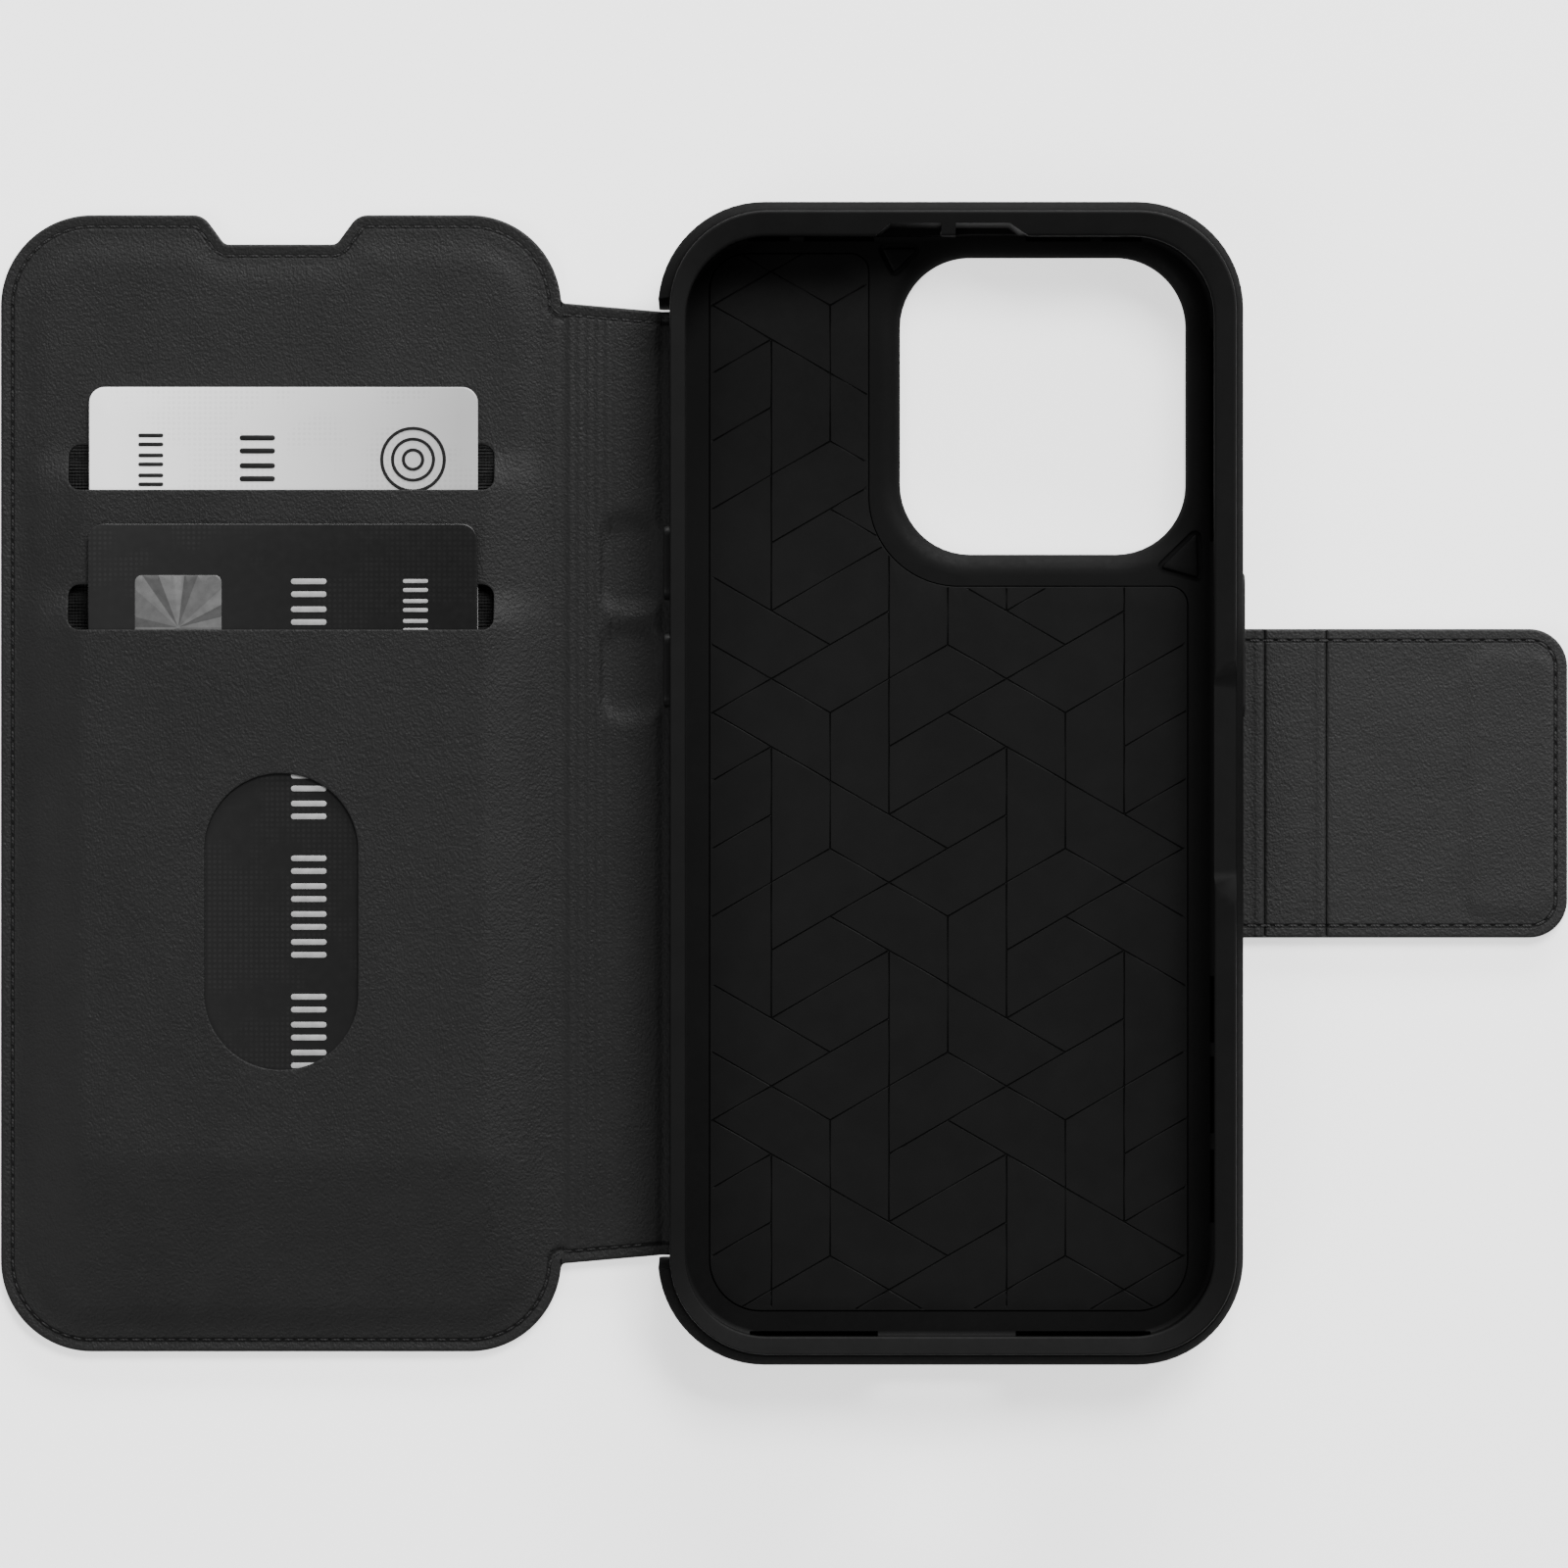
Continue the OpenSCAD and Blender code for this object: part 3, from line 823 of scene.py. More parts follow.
# The camera opening through the leather: x0, y0, x1, y1
CAMERA_HOLE = (15.6, 30.75, 54.0, 70.65)
CAMERA_R = 9.4

whole_outer = outline_of(COVER_EDGE + BACK_EDGE + NOTCH_EDGE)
TUCK_X = TRAY.x0 - 0.1
inner_corners = COVER_EDGE + [((TUCK_X, -SPINE_HY[0]), 0), ((TUCK_X, SPINE_HY[0]), 0)] + NOTCH_EDGE
whole_inner = outline_of(inner_corners, fixed=(4,))

# Card pockets: their slots, and the window over the lower card
CARD_X = UPPER_CARD.cx
SLOT_X = CARD_X - 0.3
SLOT_HW = 28.55
SLOT_H = 6.05
UPPER_SLOT = 39.4
LOWER_SLOT = 20.6
# How far one pocket front rises over the next
STEP = 1.2
# The pocket fronts slope off to both sides, between these distances from the
# middle of the cards, and to the bottom end, between these two Y
RAMP = (27.2, 36.0)
END_RAMP = (-75.0, -50.5)
WINDOW = (CARD_X - 10.45, -38.4, CARD_X + 10.1, 1.3)
WINDOW_R = 10.2
PLAIN_Z = 1.55
BORDER_Z = 1.25
STRAP_Z = SPINE_INNER.z1
PLEAT_PITCH = 1.25
PLEAT_DEPTH = 0.12
PAD_DEPTH = 0.55
CREASE_DEPTH = 0.26
MAGNET_RISE = 0.16

# Half the width of the channel that stitches pull, and its depths
CHANNEL_W = 0.16
COVER_CHANNEL = 0.15
STRAP_CHANNEL = 0.13
BACK_CHANNEL = 0.14


def slot_box(y):
    """The slot that starts at a height on the cover."""
    return (SLOT_X - SLOT_HW, y, SLOT_X + SLOT_HW, y + SLOT_H)


def pocket_lift(x, y):
    """How far the pocket fronts rise over the plain leather."""
    steps = 2
    for slot in (UPPER_SLOT, LOWER_SLOT):
        steps = steps - smooth(y, slot, slot + SLOT_H)
    side = 1 - np.clip((np.abs(x - CARD_X) - RAMP[0]) / (RAMP[1] - RAMP[0]), 0, 1)
    end = np.clip((y - END_RAMP[0]) / (END_RAMP[1] - END_RAMP[0]), 0, 1)
    return STEP * steps * side * end


def spine_pads(x, y):
    """1 on the flat of the two pads that clear the volume buttons."""
    total = 0 * x
    reach = (VOLUME_UP.y1 - VOLUME_UP.y0) / 2 - 0.5
    for key in (VOLUME_UP, VOLUME_DOWN):
        box = (SPINE_MIDDLE - 0.3, key.cy - reach, FOLD["spine_fold"] - 1.4, key.cy + reach)
        total = np.maximum(total, smooth(inside_box(x, y, box, 1.5), -1.8, 0))
    return total


def spine_height(x, y):
    """Top of the spine leather, pleated next to the cover."""
    place = x - HINGE_EDGE
    pleats = 0.5 - 0.5 * np.cos(place * math.tau / PLEAT_PITCH)
    fade = smooth(place, -0.2, 0.6) * (1 - smooth(place, 5.5, 8))
    height = BORDER_Z + (STRAP_Z - BORDER_Z) * smooth(place, 0, 1.4)
    height = height - PLEAT_DEPTH * pleats * fade - 0.1 * bell(place, 0, 0.35)
    height = height - 0.18 * bell(x, FOLD["spine_fold"], 0.6)
    return height - PAD_DEPTH * spine_pads(x, y)


def groove(depth, size):
    """The channel that a row of stitches pulls into the leather: the border
    tilts down to it from a crest near the edge."""
    border = np.clip(1 - (STITCH_IN - depth) / 1.15, 0, 1)
    return size * np.where(depth < STITCH_IN, border, bell(depth, STITCH_IN, CHANNEL_W))


def in_seam_shade(x, y, edge, hole):
    """1 on the faces along the row of stitches that take painted shade."""
    return (np.abs(edge - STITCH_IN) < 0.24).astype(np.int32)


def cover_height(x, y, edge, hole):
    """Top of the inner leather over the cover and the spine."""
    board = np.minimum(inside_box(x, y, BOARD.flat, 8.5), edge - 3.6)
    field = BORDER_Z + (PLAIN_Z - BORDER_Z) * smooth(board, -1.5, 1.4) + pocket_lift(x, y)
    field = field + 0.024 * waves(x, y, 14, 3) + 0.012 * waves(x, y, 5, 4)
    share = smooth(x, HINGE_EDGE - 1.2, HINGE_EDGE - 0.2)
    height = field * (1 - share) + spine_height(x, y) * share - groove(edge, COVER_CHANNEL)
    return height - edge_drop(edge, EDGE_R) - edge_drop(hole, 0.14)


def cover_under(x, y, edge, hole):
    """Underside of the inner leather, clear of the cards under it."""
    top = cover_height(x, y, np.maximum(edge, 1.0), np.maximum(hole, 1.0))
    return np.where(edge < 2.4, OUTER_T - 0.01, np.maximum(top - SHEET_T, OUTER_T - 0.01))


def strap_height(x, y, edge, hole):
    """Top of the strap, creased where it folds."""
    rough = 0.02 * waves(x, y, 7, 8) + 0.015 * waves(x, y, 2.6, 9)
    height = STRAP_Z + rough * smooth(x, STRAP_TUCK + 0.5, STRAP_TUCK + 5)
    for crease in CREASES:
        ridge = smooth(x, crease - 1.5, crease - 1.15) - smooth(x, crease - 0.4, crease - 0.1)
        height = height - CREASE_DEPTH * bell(x, crease, 0.16) + 0.11 * ridge
    height = height + MAGNET_RISE * smooth(inside_box(x, y, MAGNET.flat, 3.0), -0.5, 0.3)
    height = height - STRAP_CHANNEL * bell(edge, STITCH_IN, CHANNEL_W)
    return height - edge_drop(edge, EDGE_R + 0.04)


def skin_bottom(x, y, edge, hole):
    """Underside of the outer leather, which the case lies on."""
    return groove(edge, BACK_CHANNEL) + edge_drop(edge, EDGE_R) + edge_drop(hole, 0.2)


outer_rings = (0.06, 0.16, 0.3, 0.6, 1.1, 1.4, 1.6, 1.8, 2.1)
outer_cuts = [upright(x, -80, 80) for x in (SPINE_MIDDLE, *SHELL_CUTS, SIDE_MIDDLE)]
outer_bends = []
for fold, reach in BEND.items():
    for i in range(-4, 5):
        outer_bends.append(upright(FOLD[fold] + reach * i / 4, -80, 80, 1.6))
outer_sheet = Sheet(whole_outer, [box_outline(CAMERA_HOLE, CAMERA_R)], outer_rings,
                    hole_rings=(0.1, 0.25), spacing=2.4, lines=outer_cuts + outer_bends)


def bend_with(piece, fold, nodes):
    """Bakes the place of a stretch of leather that lies over a fold, and hides its CAD nodes."""
    joint = next(j for j in frame["joints"] if j["name"] == fold)
    sides = [joint["parent"], joint["child"]]
    if "latch" not in fold:
        sides.reverse()
    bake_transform(piece)
    if nodes:
        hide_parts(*nodes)


CUTS = (-FAR, SPINE_MIDDLE, *SHELL_CUTS, SIDE_MIDDLE, FAR)
SKINS = (
    ("cover_outer_skin", "cover_fold", "cover_outer_leather"),
    ("spine_outer_skin", "spine_fold", "spine_outer_leather"),
    ("back_skin", None, "back_leather"),
    ("strap_root_skin", "latch_lift", "latch_side_outer_leather"),
    ("strap_flap_skin", "latch_fold", "latch_flap_outer_leather"),
)
for (name, fold, node), x0, x1 in zip(SKINS, CUTS, CUTS[1:]):
    skin = outer_sheet.build(name, soft_top(OUTER_T, 0.06), skin_bottom, OUTER_LEATHER, x0, x1)
    if fold:
        bend_with(skin, fold, [node])
    else:
        settle(skin, "shell", "outer_leather", node)

pleat_lines = [upright(HINGE_EDGE - 1.5 + 0.3125 * i, -62.5, 62.5, 1.5) for i in range(31)]
fold_lines = [upright(FOLD["spine_fold"] + 0.325 * i, -62.5, 62.5, 0.7) for i in range(-4, 4)]
card_sides = [upright(CARD_X + side * reach, -66, 44, 1.2) for side in (-1, 1)
              for reach in (RAMP[0], 28.7, 30.2, 31.7, 33.2, 34.7, RAMP[1])]
slots = [box_outline(slot_box(y), 1.5) for y in (UPPER_SLOT, LOWER_SLOT)]
inner_sheet = Sheet(whole_inner, [*slots, box_outline(WINDOW, WINDOW_R)], SEAM_RINGS,
                    hole_rings=(0.05, 0.12, 0.3), spacing=1.25,
                    lines=pleat_lines + fold_lines + card_sides, tucked=TUCK_X)
for part, x0, x1 in (("cover", -FAR, SPINE_MIDDLE), ("spine", SPINE_MIDDLE, FAR)):
    sheet = inner_sheet.build(f"{part}_inner_sheet", cover_height, cover_under,
                              [INNER_LEATHER, SEAM_SHADE_LEATHER], x0, x1, in_seam_shade)
    bend_with(sheet, f"{part}_fold", [f"{part}_inner_leather"])

STRAP_TUCK = TRAY.x1 + 0.1
STRAP_EDGE = [
    ((STRAP_TUCK, -STRAP_HY), 0),
    ((FLAP.x1, -STRAP_HY), STRAP_R),
    ((FLAP.x1, STRAP_HY), STRAP_R),
    ((STRAP_TUCK, STRAP_HY), 0),
]
strap_outline = outline_of(STRAP_EDGE, fixed=(3,))
CREASES = (STIFFENER.x0 - 0.6, STIFFENER.x1 + 0.5)
crease_lines = [upright(crease + dx, 0.3 - STRAP_HY, STRAP_HY - 0.3, 0.7) for crease in CREASES
                for dx in (-1.55, -1.32, -1.1, -0.7, -0.4, -0.25, -0.09, 0, 0.09, 0.2, 0.4)]


def in_strap_shade(x, y, edge, hole):
    """1 along the stitches and in the two creases, where painted shade goes."""
    creased = np.minimum(*(np.abs(x - crease) for crease in CREASES)) < 0.1
    return np.maximum(in_seam_shade(x, y, edge, hole), creased & (edge > 0.3)).astype(np.int32)


strap_lines = [upright(SIDE_MIDDLE, -21, 21), *crease_lines]
strap_sheet = Sheet(strap_outline, rings=SEAM_RINGS, spacing=0.9, lines=strap_lines,
                    tucked=STRAP_TUCK)
STRAP_PARTS = (
    ("strap_root_sheet", "latch_lift", "latch_side_inner_leather", -FAR, SIDE_MIDDLE),
    ("strap_flap_sheet", "latch_fold", "latch_flap_inner_leather", SIDE_MIDDLE, FAR),
)
for name, fold, node, x0, x1 in STRAP_PARTS:
    sheet = strap_sheet.build(name, strap_height, level(OUTER_T - 0.01),
                              [STRAP_LIT_LEATHER, SEAM_SHADE_LEATHER], x0, x1, in_strap_shade)
    bend_with(sheet, fold, [node])


# ---- stitches


def stitch_row(name, path, sizes, surface, thread, turned, x0, x1):
    """The stitches of a row whose middles lie between two x. Each is a
    separate thread that dips into the leather at both ends.

    surface gives the height of the leather; turned is -1 underneath.
    """
    pitch, long, wide, high = sizes
    length = np.concatenate([[0], np.cumsum(np.hypot(*np.diff(path, axis=0).T))])
    around, steps = 8, 7
    share = np.linspace(0, 1, steps)
    arch = np.sqrt(np.clip(1 - (2 * share - 1) ** 4, 0, 1))
    vertices, faces = [], []
    for begin in np.arange(pitch - long, length[-1] - pitch, pitch):
        x, y = (np.interp(begin + long * share, length, path[:, axis]) for axis in (0, 1))
        if not x0 <= x[steps // 2] < x1:
            continue
        dx, dy = np.gradient(x), np.gradient(y)
        nx, ny = -dy / np.hypot(dx, dy), dx / np.hypot(dx, dy)
        middle = surface(x, y) + turned * (high * 0.55 * arch - high * 0.45)
        half = wide / 2 * (0.55 + 0.45 * arch)
        rings = []
        for i in range(steps):
            ring = []
            for j in range(around):
                angle = math.tau * j / around
                side, up = math.cos(angle) * half[i], math.sin(angle) * high * 0.5
                ring.append((x[i] + nx[i] * side, y[i] + ny[i] * side, middle[i] + up))
            rings.append(ring)
        faces += [face[::-1] for face in loft(rings, first=len(vertices))]
        vertices += [point for ring in rings for point in ring]
    return new_object(name, vertices, faces, thread, 60)


def open_run(outline, keep):
    """The points of a closed outline that are kept, in one unbroken run."""
    start = next(i for i in range(len(keep)) if keep[i] and not keep[i - 1])
    turned, flags = np.roll(outline, -start, 0), np.roll(keep, -start)
    return turned[: int(np.argmin(flags))] if not flags.all() else turned


def along_seam(height):
    """The height of a face where it is on the seam line and far from a hole."""
    return lambda x, y: height(x, y, np.full_like(x, STITCH_IN), np.full_like(x, FAR))


# Pitch, length, width and height of the stitches
COVER_STITCH = (1.58, 1.28, 0.32, 0.26)
STRAP_STITCH = (1.85, 1.5, 0.4, 0.3)
COVER_ROW = (COVER_STITCH, COVER_THREAD)
STRAP_ROW = (STRAP_STITCH, STRAP_LIT_THREAD)
ON_COVER, ON_STRAP, UNDERNEATH = map(along_seam, (cover_height, strap_height, skin_bottom))


def left_run(outline):
    """A seam's points on the cover and the spine."""
    seam = outline(STITCH_IN)
    return open_run(seam, seam[:, 0] < FOLD["spine_fold"] - 0.6)


def right_run(outline):
    """A seam's points on the strap."""
    seam = outline(STITCH_IN)
    return open_run(seam, seam[:, 0] > BUMPER.x1 + 0.4)


SEAMS = (
    ("", left_run(whole_inner), COVER_ROW, ON_COVER, 1, "left"),
    ("", right_run(strap_outline), STRAP_ROW, ON_STRAP, 1, "right"),
    ("back_", left_run(whole_outer), COVER_ROW, UNDERNEATH, -1, "left"),
    ("back_", right_run(whole_outer), STRAP_ROW, UNDERNEATH, -1, "right"),
)
SPANS = {
    "left": (("cover", -FAR, SPINE_MIDDLE, "cover_fold", "cover_stitching"),
             ("spine", SPINE_MIDDLE, 0, "spine_fold", "spine_stitching")),
    "right": (("strap_root", 0, SIDE_MIDDLE, "latch_lift", "latch_side_stitching"),
              ("strap_flap", SIDE_MIDDLE, FAR, "latch_fold", "latch_flap_stitching")),
}
for prefix, path, (sizes, thread), surface, turned, side in SEAMS:
    for part, x0, x1, fold, node in SPANS[side]:
        name = f"{part}_{prefix}stitches"
        row = stitch_row(name, path, sizes, surface, thread, turned, x0, x1)
        bend_with(row, fold, [] if prefix else [node])


# ---- tray

PHONE_T = 7.85
FLOOR_Z = LINER.z1
# The space for the phone, and the lip that stands over its edge
CAVITY = (TRAY.x0 + 1.4, TRAY.y0 + 1.65, TRAY.x1 - 2.2, TRAY.y1 - 2.65)
CAVITY_R = 11.5
CAVITY_TOP = FLOOR_Z + PHONE_T + 0.1
LIP = grown(CAVITY, -0.75)
LIP_R = CAVITY_R - 0.75
RIM_Z = TRAY.z1


def rim(t, z):
    """A ring a share t of the way from the tray's side to the lip."""
    return between(TRAY.flat, LIP, t), TRAY_R + (LIP_R - TRAY_R) * t, z


tray_rings = Rings()
tray_rings.add(grown(TRAY.flat, -0.3), TRAY_R - 0.3, TRAY.z0)
tray_rings.add(TRAY.flat, TRAY_R, TRAY.z0 + 0.3)
for height in (3.0, 6.0, 9.0, BUMPER.z1, RIM_Z - 0.35):
    tray_rings.add(TRAY.flat, TRAY_R, height)
for share, height in ((0.02, -0.14), (0.05, -0.05), (0.09, 0.0), (0.13, -0.02), (0.5, -0.22),
                      (0.87, -0.42), (0.92, -0.45), (0.97, -0.54), (1.0, -0.66)):
    tray_rings.add(*rim(share, RIM_Z + height))
tray_rings.add(LIP, LIP_R, CAVITY_TOP + 0.1)
tray_rings.add(grown(LIP, 0.1), LIP_R + 0.1, CAVITY_TOP)
tray_rings.add(CAVITY, CAVITY_R, CAVITY_TOP)
for height in (8.0, 6.0, 4.0, FLOOR_Z + 0.5):
    tray_rings.add(CAVITY, CAVITY_R, height)
for inset, rise in ((0.15, 0.15), (0.5, 0), (0.8, 0)):
    tray_rings.add(grown(CAVITY, -inset), CAVITY_R - inset, FLOOR_Z + rise)
tray = tray_rings.build("shell_tray_body", TRAY_PLASTIC)

LINER_STEP = (11.34, 26.4)
ELBOW_R = 12.1
liner_outline = outline_of([
    ((LINER.x0, LINER.y0), 6.85),
    ((LINER.x1, LINER.y0), 6.85),
    ((LINER.x1, LINER_STEP[1]), 2.4),
    (LINER_STEP, ELBOW_R),
    ((LINER_STEP[0], LINER.y1), 2.4),
    ((LINER.x0, LINER.y1), 5.0),
])
PORT = (12.7, 3.6, 31.3, 8.4)
PORT_R = 2.38
KEY_H = POWER.z1 - POWER.z0 - 1.2
KEY_L = {"power": 19.3, "volume_up": 10.1, "volume_down": 10.1}
KEY_BOX = {"power": POWER, "volume_up": VOLUME_UP, "volume_down": VOLUME_DOWN}
KEY_GAP = 0.15
FLANGE_W = 0.6
FLANGE_POCKET = 0.4


def key_outline(key, grow, step=0.8):
    """The round-ended outline of a key in Y and Z, made larger on every side."""
    box = KEY_BOX[key]
    half, radius = KEY_L[key] / 2 + grow, KEY_H / 2 + grow
    return soft_box((box.cy - half, box.cz - radius, box.cy + half, box.cz + radius),
                    radius - 0.01, 0.0, step)


def key_cutter(key, grow, x0, x1):
    """A key's outline with its gap, between two x."""
    return prism(key_outline(key, grow + KEY_GAP), x0, x1, along_x)


def port_cutter():
    """The charging port's opening through the bottom wall."""
    return prism(soft_box(PORT, PORT_R), -TRAY.y0 - 6, -TRAY.y0 + 6, along_y)


cutters = []
for key, box in KEY_BOX.items():
    if box.cx > 0:
        cutters.append(key_cutter(key, FLANGE_W, CAVITY[2] - 1, box.x0 + FLANGE_POCKET))
        cutters.append(key_cutter(key, 0, CAVITY[2] - 1, TRAY.x1 + 1))
    else:
        cutters.append(key_cutter(key, FLANGE_W, box.x1 - FLANGE_POCKET, CAVITY[0] + 1))
        cutters.append(key_cutter(key, 0, TRAY.x0 - 1, CAVITY[0] + 1))
cutters.append(port_cutter())
# The finger notch in the right rim, in Y and Z
NOTCH_Z = 10.5
NOTCH_TOP = RIM_Z + 0.7
notch = [(-11.9, NOTCH_Z), (13.1, NOTCH_Z), (18.8, NOTCH_TOP), (-19.1, NOTCH_TOP)]
cutters.append(prism(notch, LIP[2] - 2, TRAY.x1 + 1, along_x))
# Two pockets in the top lip, each from x0 to x1, and the slant of their sides
VENT_Y = 74.4
VENT_Z = 3.2
VENTS = ((12.1, 20.9, 2.0, 0.0), (22.8, 32.5, 0.0, -2.5))
for x0, x1, left, right in VENTS:
    vent = [(x0, LIP[3] - 0.5), (x1, LIP[3] - 0.5), (x1, LIP[3]), (x1 + right, VENT_Y),
            (x0 + left, VENT_Y), (x0, LIP[3])]
    cutters.append(prism(vent, VENT_Z, RIM_Z + 1))
# Narrow pits in the floor along the foot of the walls, from PIT_Z up
PIT_W = 0.7
PIT_Z = 1.0
TOP_PITS = ((-5.0, 0.7), (2.7, 12.1), (32.5, 41.2), (42.7, 48.0))
BOTTOM_PITS = ((-4.6, 12.6), (31.1, 49.2))
RIGHT_PITS = ((32.5, 61.0), (-34.8, -25.9), (-47.0, -36.7), (-59.0, -49.2))
pits = [(x0, CAVITY[3] - PIT_W, x1, CAVITY[3] + 0.05) for x0, x1 in TOP_PITS]
pits += [(x0, CAVITY[1] - 0.05, x1, CAVITY[1] + PIT_W) for x0, x1 in BOTTOM_PITS]
pits += [(CAVITY[2] - PIT_W, y0, CAVITY[2] + 0.05, y1) for y0, y1 in RIGHT_PITS]
cutters += [prism(box_corners(*pit), PIT_Z, FLOOR_Z + 0.8) for pit in pits]
# The camera opening flares towards the phone: how far out at which depth
CAMERA_FLARE = ((0.0, 1.9), (0.0, 1.3), (0.08, 1.16), (0.3, 0.92), (0.6, 0.66), (1.0, 0.4),
                (1.5, 0.18), (2.1, 0.05), (2.8, 0.0), (3.0, -1.0))
camera_rings = Rings(1.0, 12)
for grow, drop in CAMERA_FLARE:
    camera_rings.add(grown(CAMERA_HOLE, grow), CAMERA_R + grow, FLOOR_Z - drop)
cutters.append(camera_rings.build("camera_cutter", []))
LINER_GAP = 0.13
cutters.append(prism(liner_outline(-LINER_GAP), LINER.z0 - 0.05, FLOOR_Z + 1))
# Three-cornered islands in the floor, each in a groove of its own
FLOOR_MARKS = (((12.76, 72.1), (14.7, 68.1), (18.6, 72.1)),
               ((55.66, 34.25), (50.13, 28.9), (55.9, 27.3)))
MARK_DEPTH = 0.5
MARK_GROOVE = 0.62
MARK_GROW = 0.38
MARK_R = 0.12


def mark_outline(corners, inset=0.0):
    """The outline of the groove round an island, moved in by inset."""
    return rounded(corners, [MARK_R + MARK_GROW] * 3, inset - MARK_GROW)


cutters += [prism(mark_outline(corners), FLOOR_Z - MARK_DEPTH, FLOOR_Z + 1) for corners in FLOOR_MARKS]
carve(tray, cutters)
settle(tray, "shell", "shell_plastic", "shell_tray")
for number, corners in enumerate(FLOOR_MARKS):
    pad = Sheet(lambda inset: mark_outline(corners, inset + MARK_GROOVE),
                rings=(0.06, 0.14, 0.25), spacing=1.0)
    island = pad.build(f"floor_mark_{number}", soft_top(FLOOR_Z - 0.04, 0.25),
                       level(FLOOR_Z - MARK_DEPTH - 0.05), TRAY_PLASTIC)
    settle(island, "shell", "shell_plastic")


# ---- bumper

BUMPER_R = 14.2


def band(t, z, grow=0.0):
    """A ring a share t of the way from the bumper's side to the tray."""
    box = between(BUMPER.flat, TRAY.flat, t)
    return grown(box, grow), BUMPER_R + (TRAY_R - BUMPER_R) * t + grow, z


bumper_rings = Rings()
for share, height in ((0.35, 0.0), (0.12, 0.12), (0.0, 0.45), (0.0, 3.0), (0.0, 6.0), (0.0, 9.15),
                      (0.04, 9.25), (0.25, 9.6), (0.5, 9.98), (0.75, 10.33), (0.86, 10.45),
                      (0.95, BUMPER.z1)):
    bumper_rings.add(*band(share, height))
for height in (BUMPER.z1 - 0.1, 6.0, 0.9, 0.0):
    bumper_rings.add(*band(1.0, height, 0.02))
bumper = bumper_rings.build("bumper_body", RUBBER, tube=True)
# The bumper's two ends by the spine lean: their Y at the foot and at the top
LEG_Y = (63.7, 64.6)
slope = (LEG_Y[1] - LEG_Y[0]) / BUMPER.z1
foot, head = LEG_Y[0] - slope, LEG_Y[1] + slope
leg_gap = [(-foot, -1), (foot, -1), (head, BUMPER.z1 + 1), (-head, BUMPER.z1 + 1)]
strap_gap = box_corners(-STRAP_HY - 0.3, -1, STRAP_HY + 0.3, STRAP_Z + 0.3)
carve(bumper, [
    prism(leg_gap, BUMPER.x0 - 1, TRAY.x0 + 1, along_x),
    prism(strap_gap, TRAY.x1 - 1, BUMPER.x1 + 1, along_x),
    key_cutter("power", 0, TRAY.x1 - 1, BUMPER.x1 + 1),
    port_cutter(),
])
settle(bumper, "shell", "bumper_rubber", "bumper_frame")


# ---- buttons


def resampled(outline, count):
    """The same closed outline with a set number of even points."""
    loop = np.vstack([outline, outline[:1]])
    length = np.concatenate([[0], np.cumsum(np.hypot(*np.diff(loop, axis=0).T))])
    at = np.linspace(0, length[-1], count, endpoint=False)
    return np.column_stack([np.interp(at, length, loop[:, axis]) for axis in (0, 1)])


def button(name, key):
    """A crowned key cap through the wall, with its flange inside."""
    box = KEY_BOX[key]
    inner, way = (box.x0, 1) if box.cx > 0 else (box.x1, -1)
    cap = box.x1 - box.x0
    levels = ((0.0, FLANGE_W), (0.3, FLANGE_W), (0.3, 0.0), (cap - 0.35, 0.0),
              (cap - 0.12, -0.08), (cap - 0.02, -0.28), (cap, -0.6))
    rings = []
    for depth, grow in levels:
        outline = resampled(key_outline(key, grow, 0.3), 96)
        rings.append([(inner + way * depth, y, z) for y, z in outline])
    faces = loft(rings)
    if way < 0:
        faces = [face[::-1] for face in faces]
    piece = new_object(name, np.vstack(rings), faces, BUTTON_PLASTIC, MOULDED_ANGLE)
    settle(piece, f"{key}_key", "shell_plastic", f"{key}_button")


button("power_key_cap", "power")
button("volume_up_cap", "volume_up")
button("volume_down_cap", "volume_down")


# ---- liner

# The pattern's lattice: a start and a step along X and along Y, and the lines
# of one motif between lattice points
LATTICE_X = (-1.71, 7.895)
LATTICE_Y = (23.14, 4.558)
MOTIF = [((1, 4), (1, 12)), ((2, 3), (2, 7)), ((0, 3), (4, 7)), ((4, 1), (6, 3)), ((3, 4), (7, 0)),
         ((2, 3), (4, 1)), ((3, 6), (5, 4))]
PATTERN_IN = 0.12


def lattice(k, j):
    """The lattice point at column k and half-row j."""
    return np.array((LATTICE_X[0] + LATTICE_X[1] * (k - 1), LATTICE_Y[0] - LATTICE_Y[1] * j))


def pattern_lines():
    """The pattern's lines, clipped a little inside the liner's edge."""
    clip = liner_outline(PATTERN_IN)
    lines, seen = [], set()
    for a in range(-4, 4):
        for b in range(-6, 6):
            shift = (4 * a + 2 * b, 6 * b)
            for start, end in MOTIF:
                ends = [(k + shift[0], j + shift[1]) for k, j in (start, end)]
                line = tuple(sorted(ends))
                if line in seen or (start[0] == end[0] and ends[0][0] in (0, 8)):
                    continue
                seen.add(line)
                p, q = (lattice(*point) for point in ends)
                steps = math.ceil(np.hypot(*(q - p)) / 0.6)
                points = p + (q - p) * np.linspace(0, 1, steps + 1)[:, None]
                inside = within(points, clip)
                breaks = np.flatnonzero(inside[1:] != inside[:-1]) + 1
                for run, kept in zip(np.split(points, breaks), np.split(inside, breaks)):
                    if kept[0] and len(run) > 1:
                        lines.append(run)
    return lines


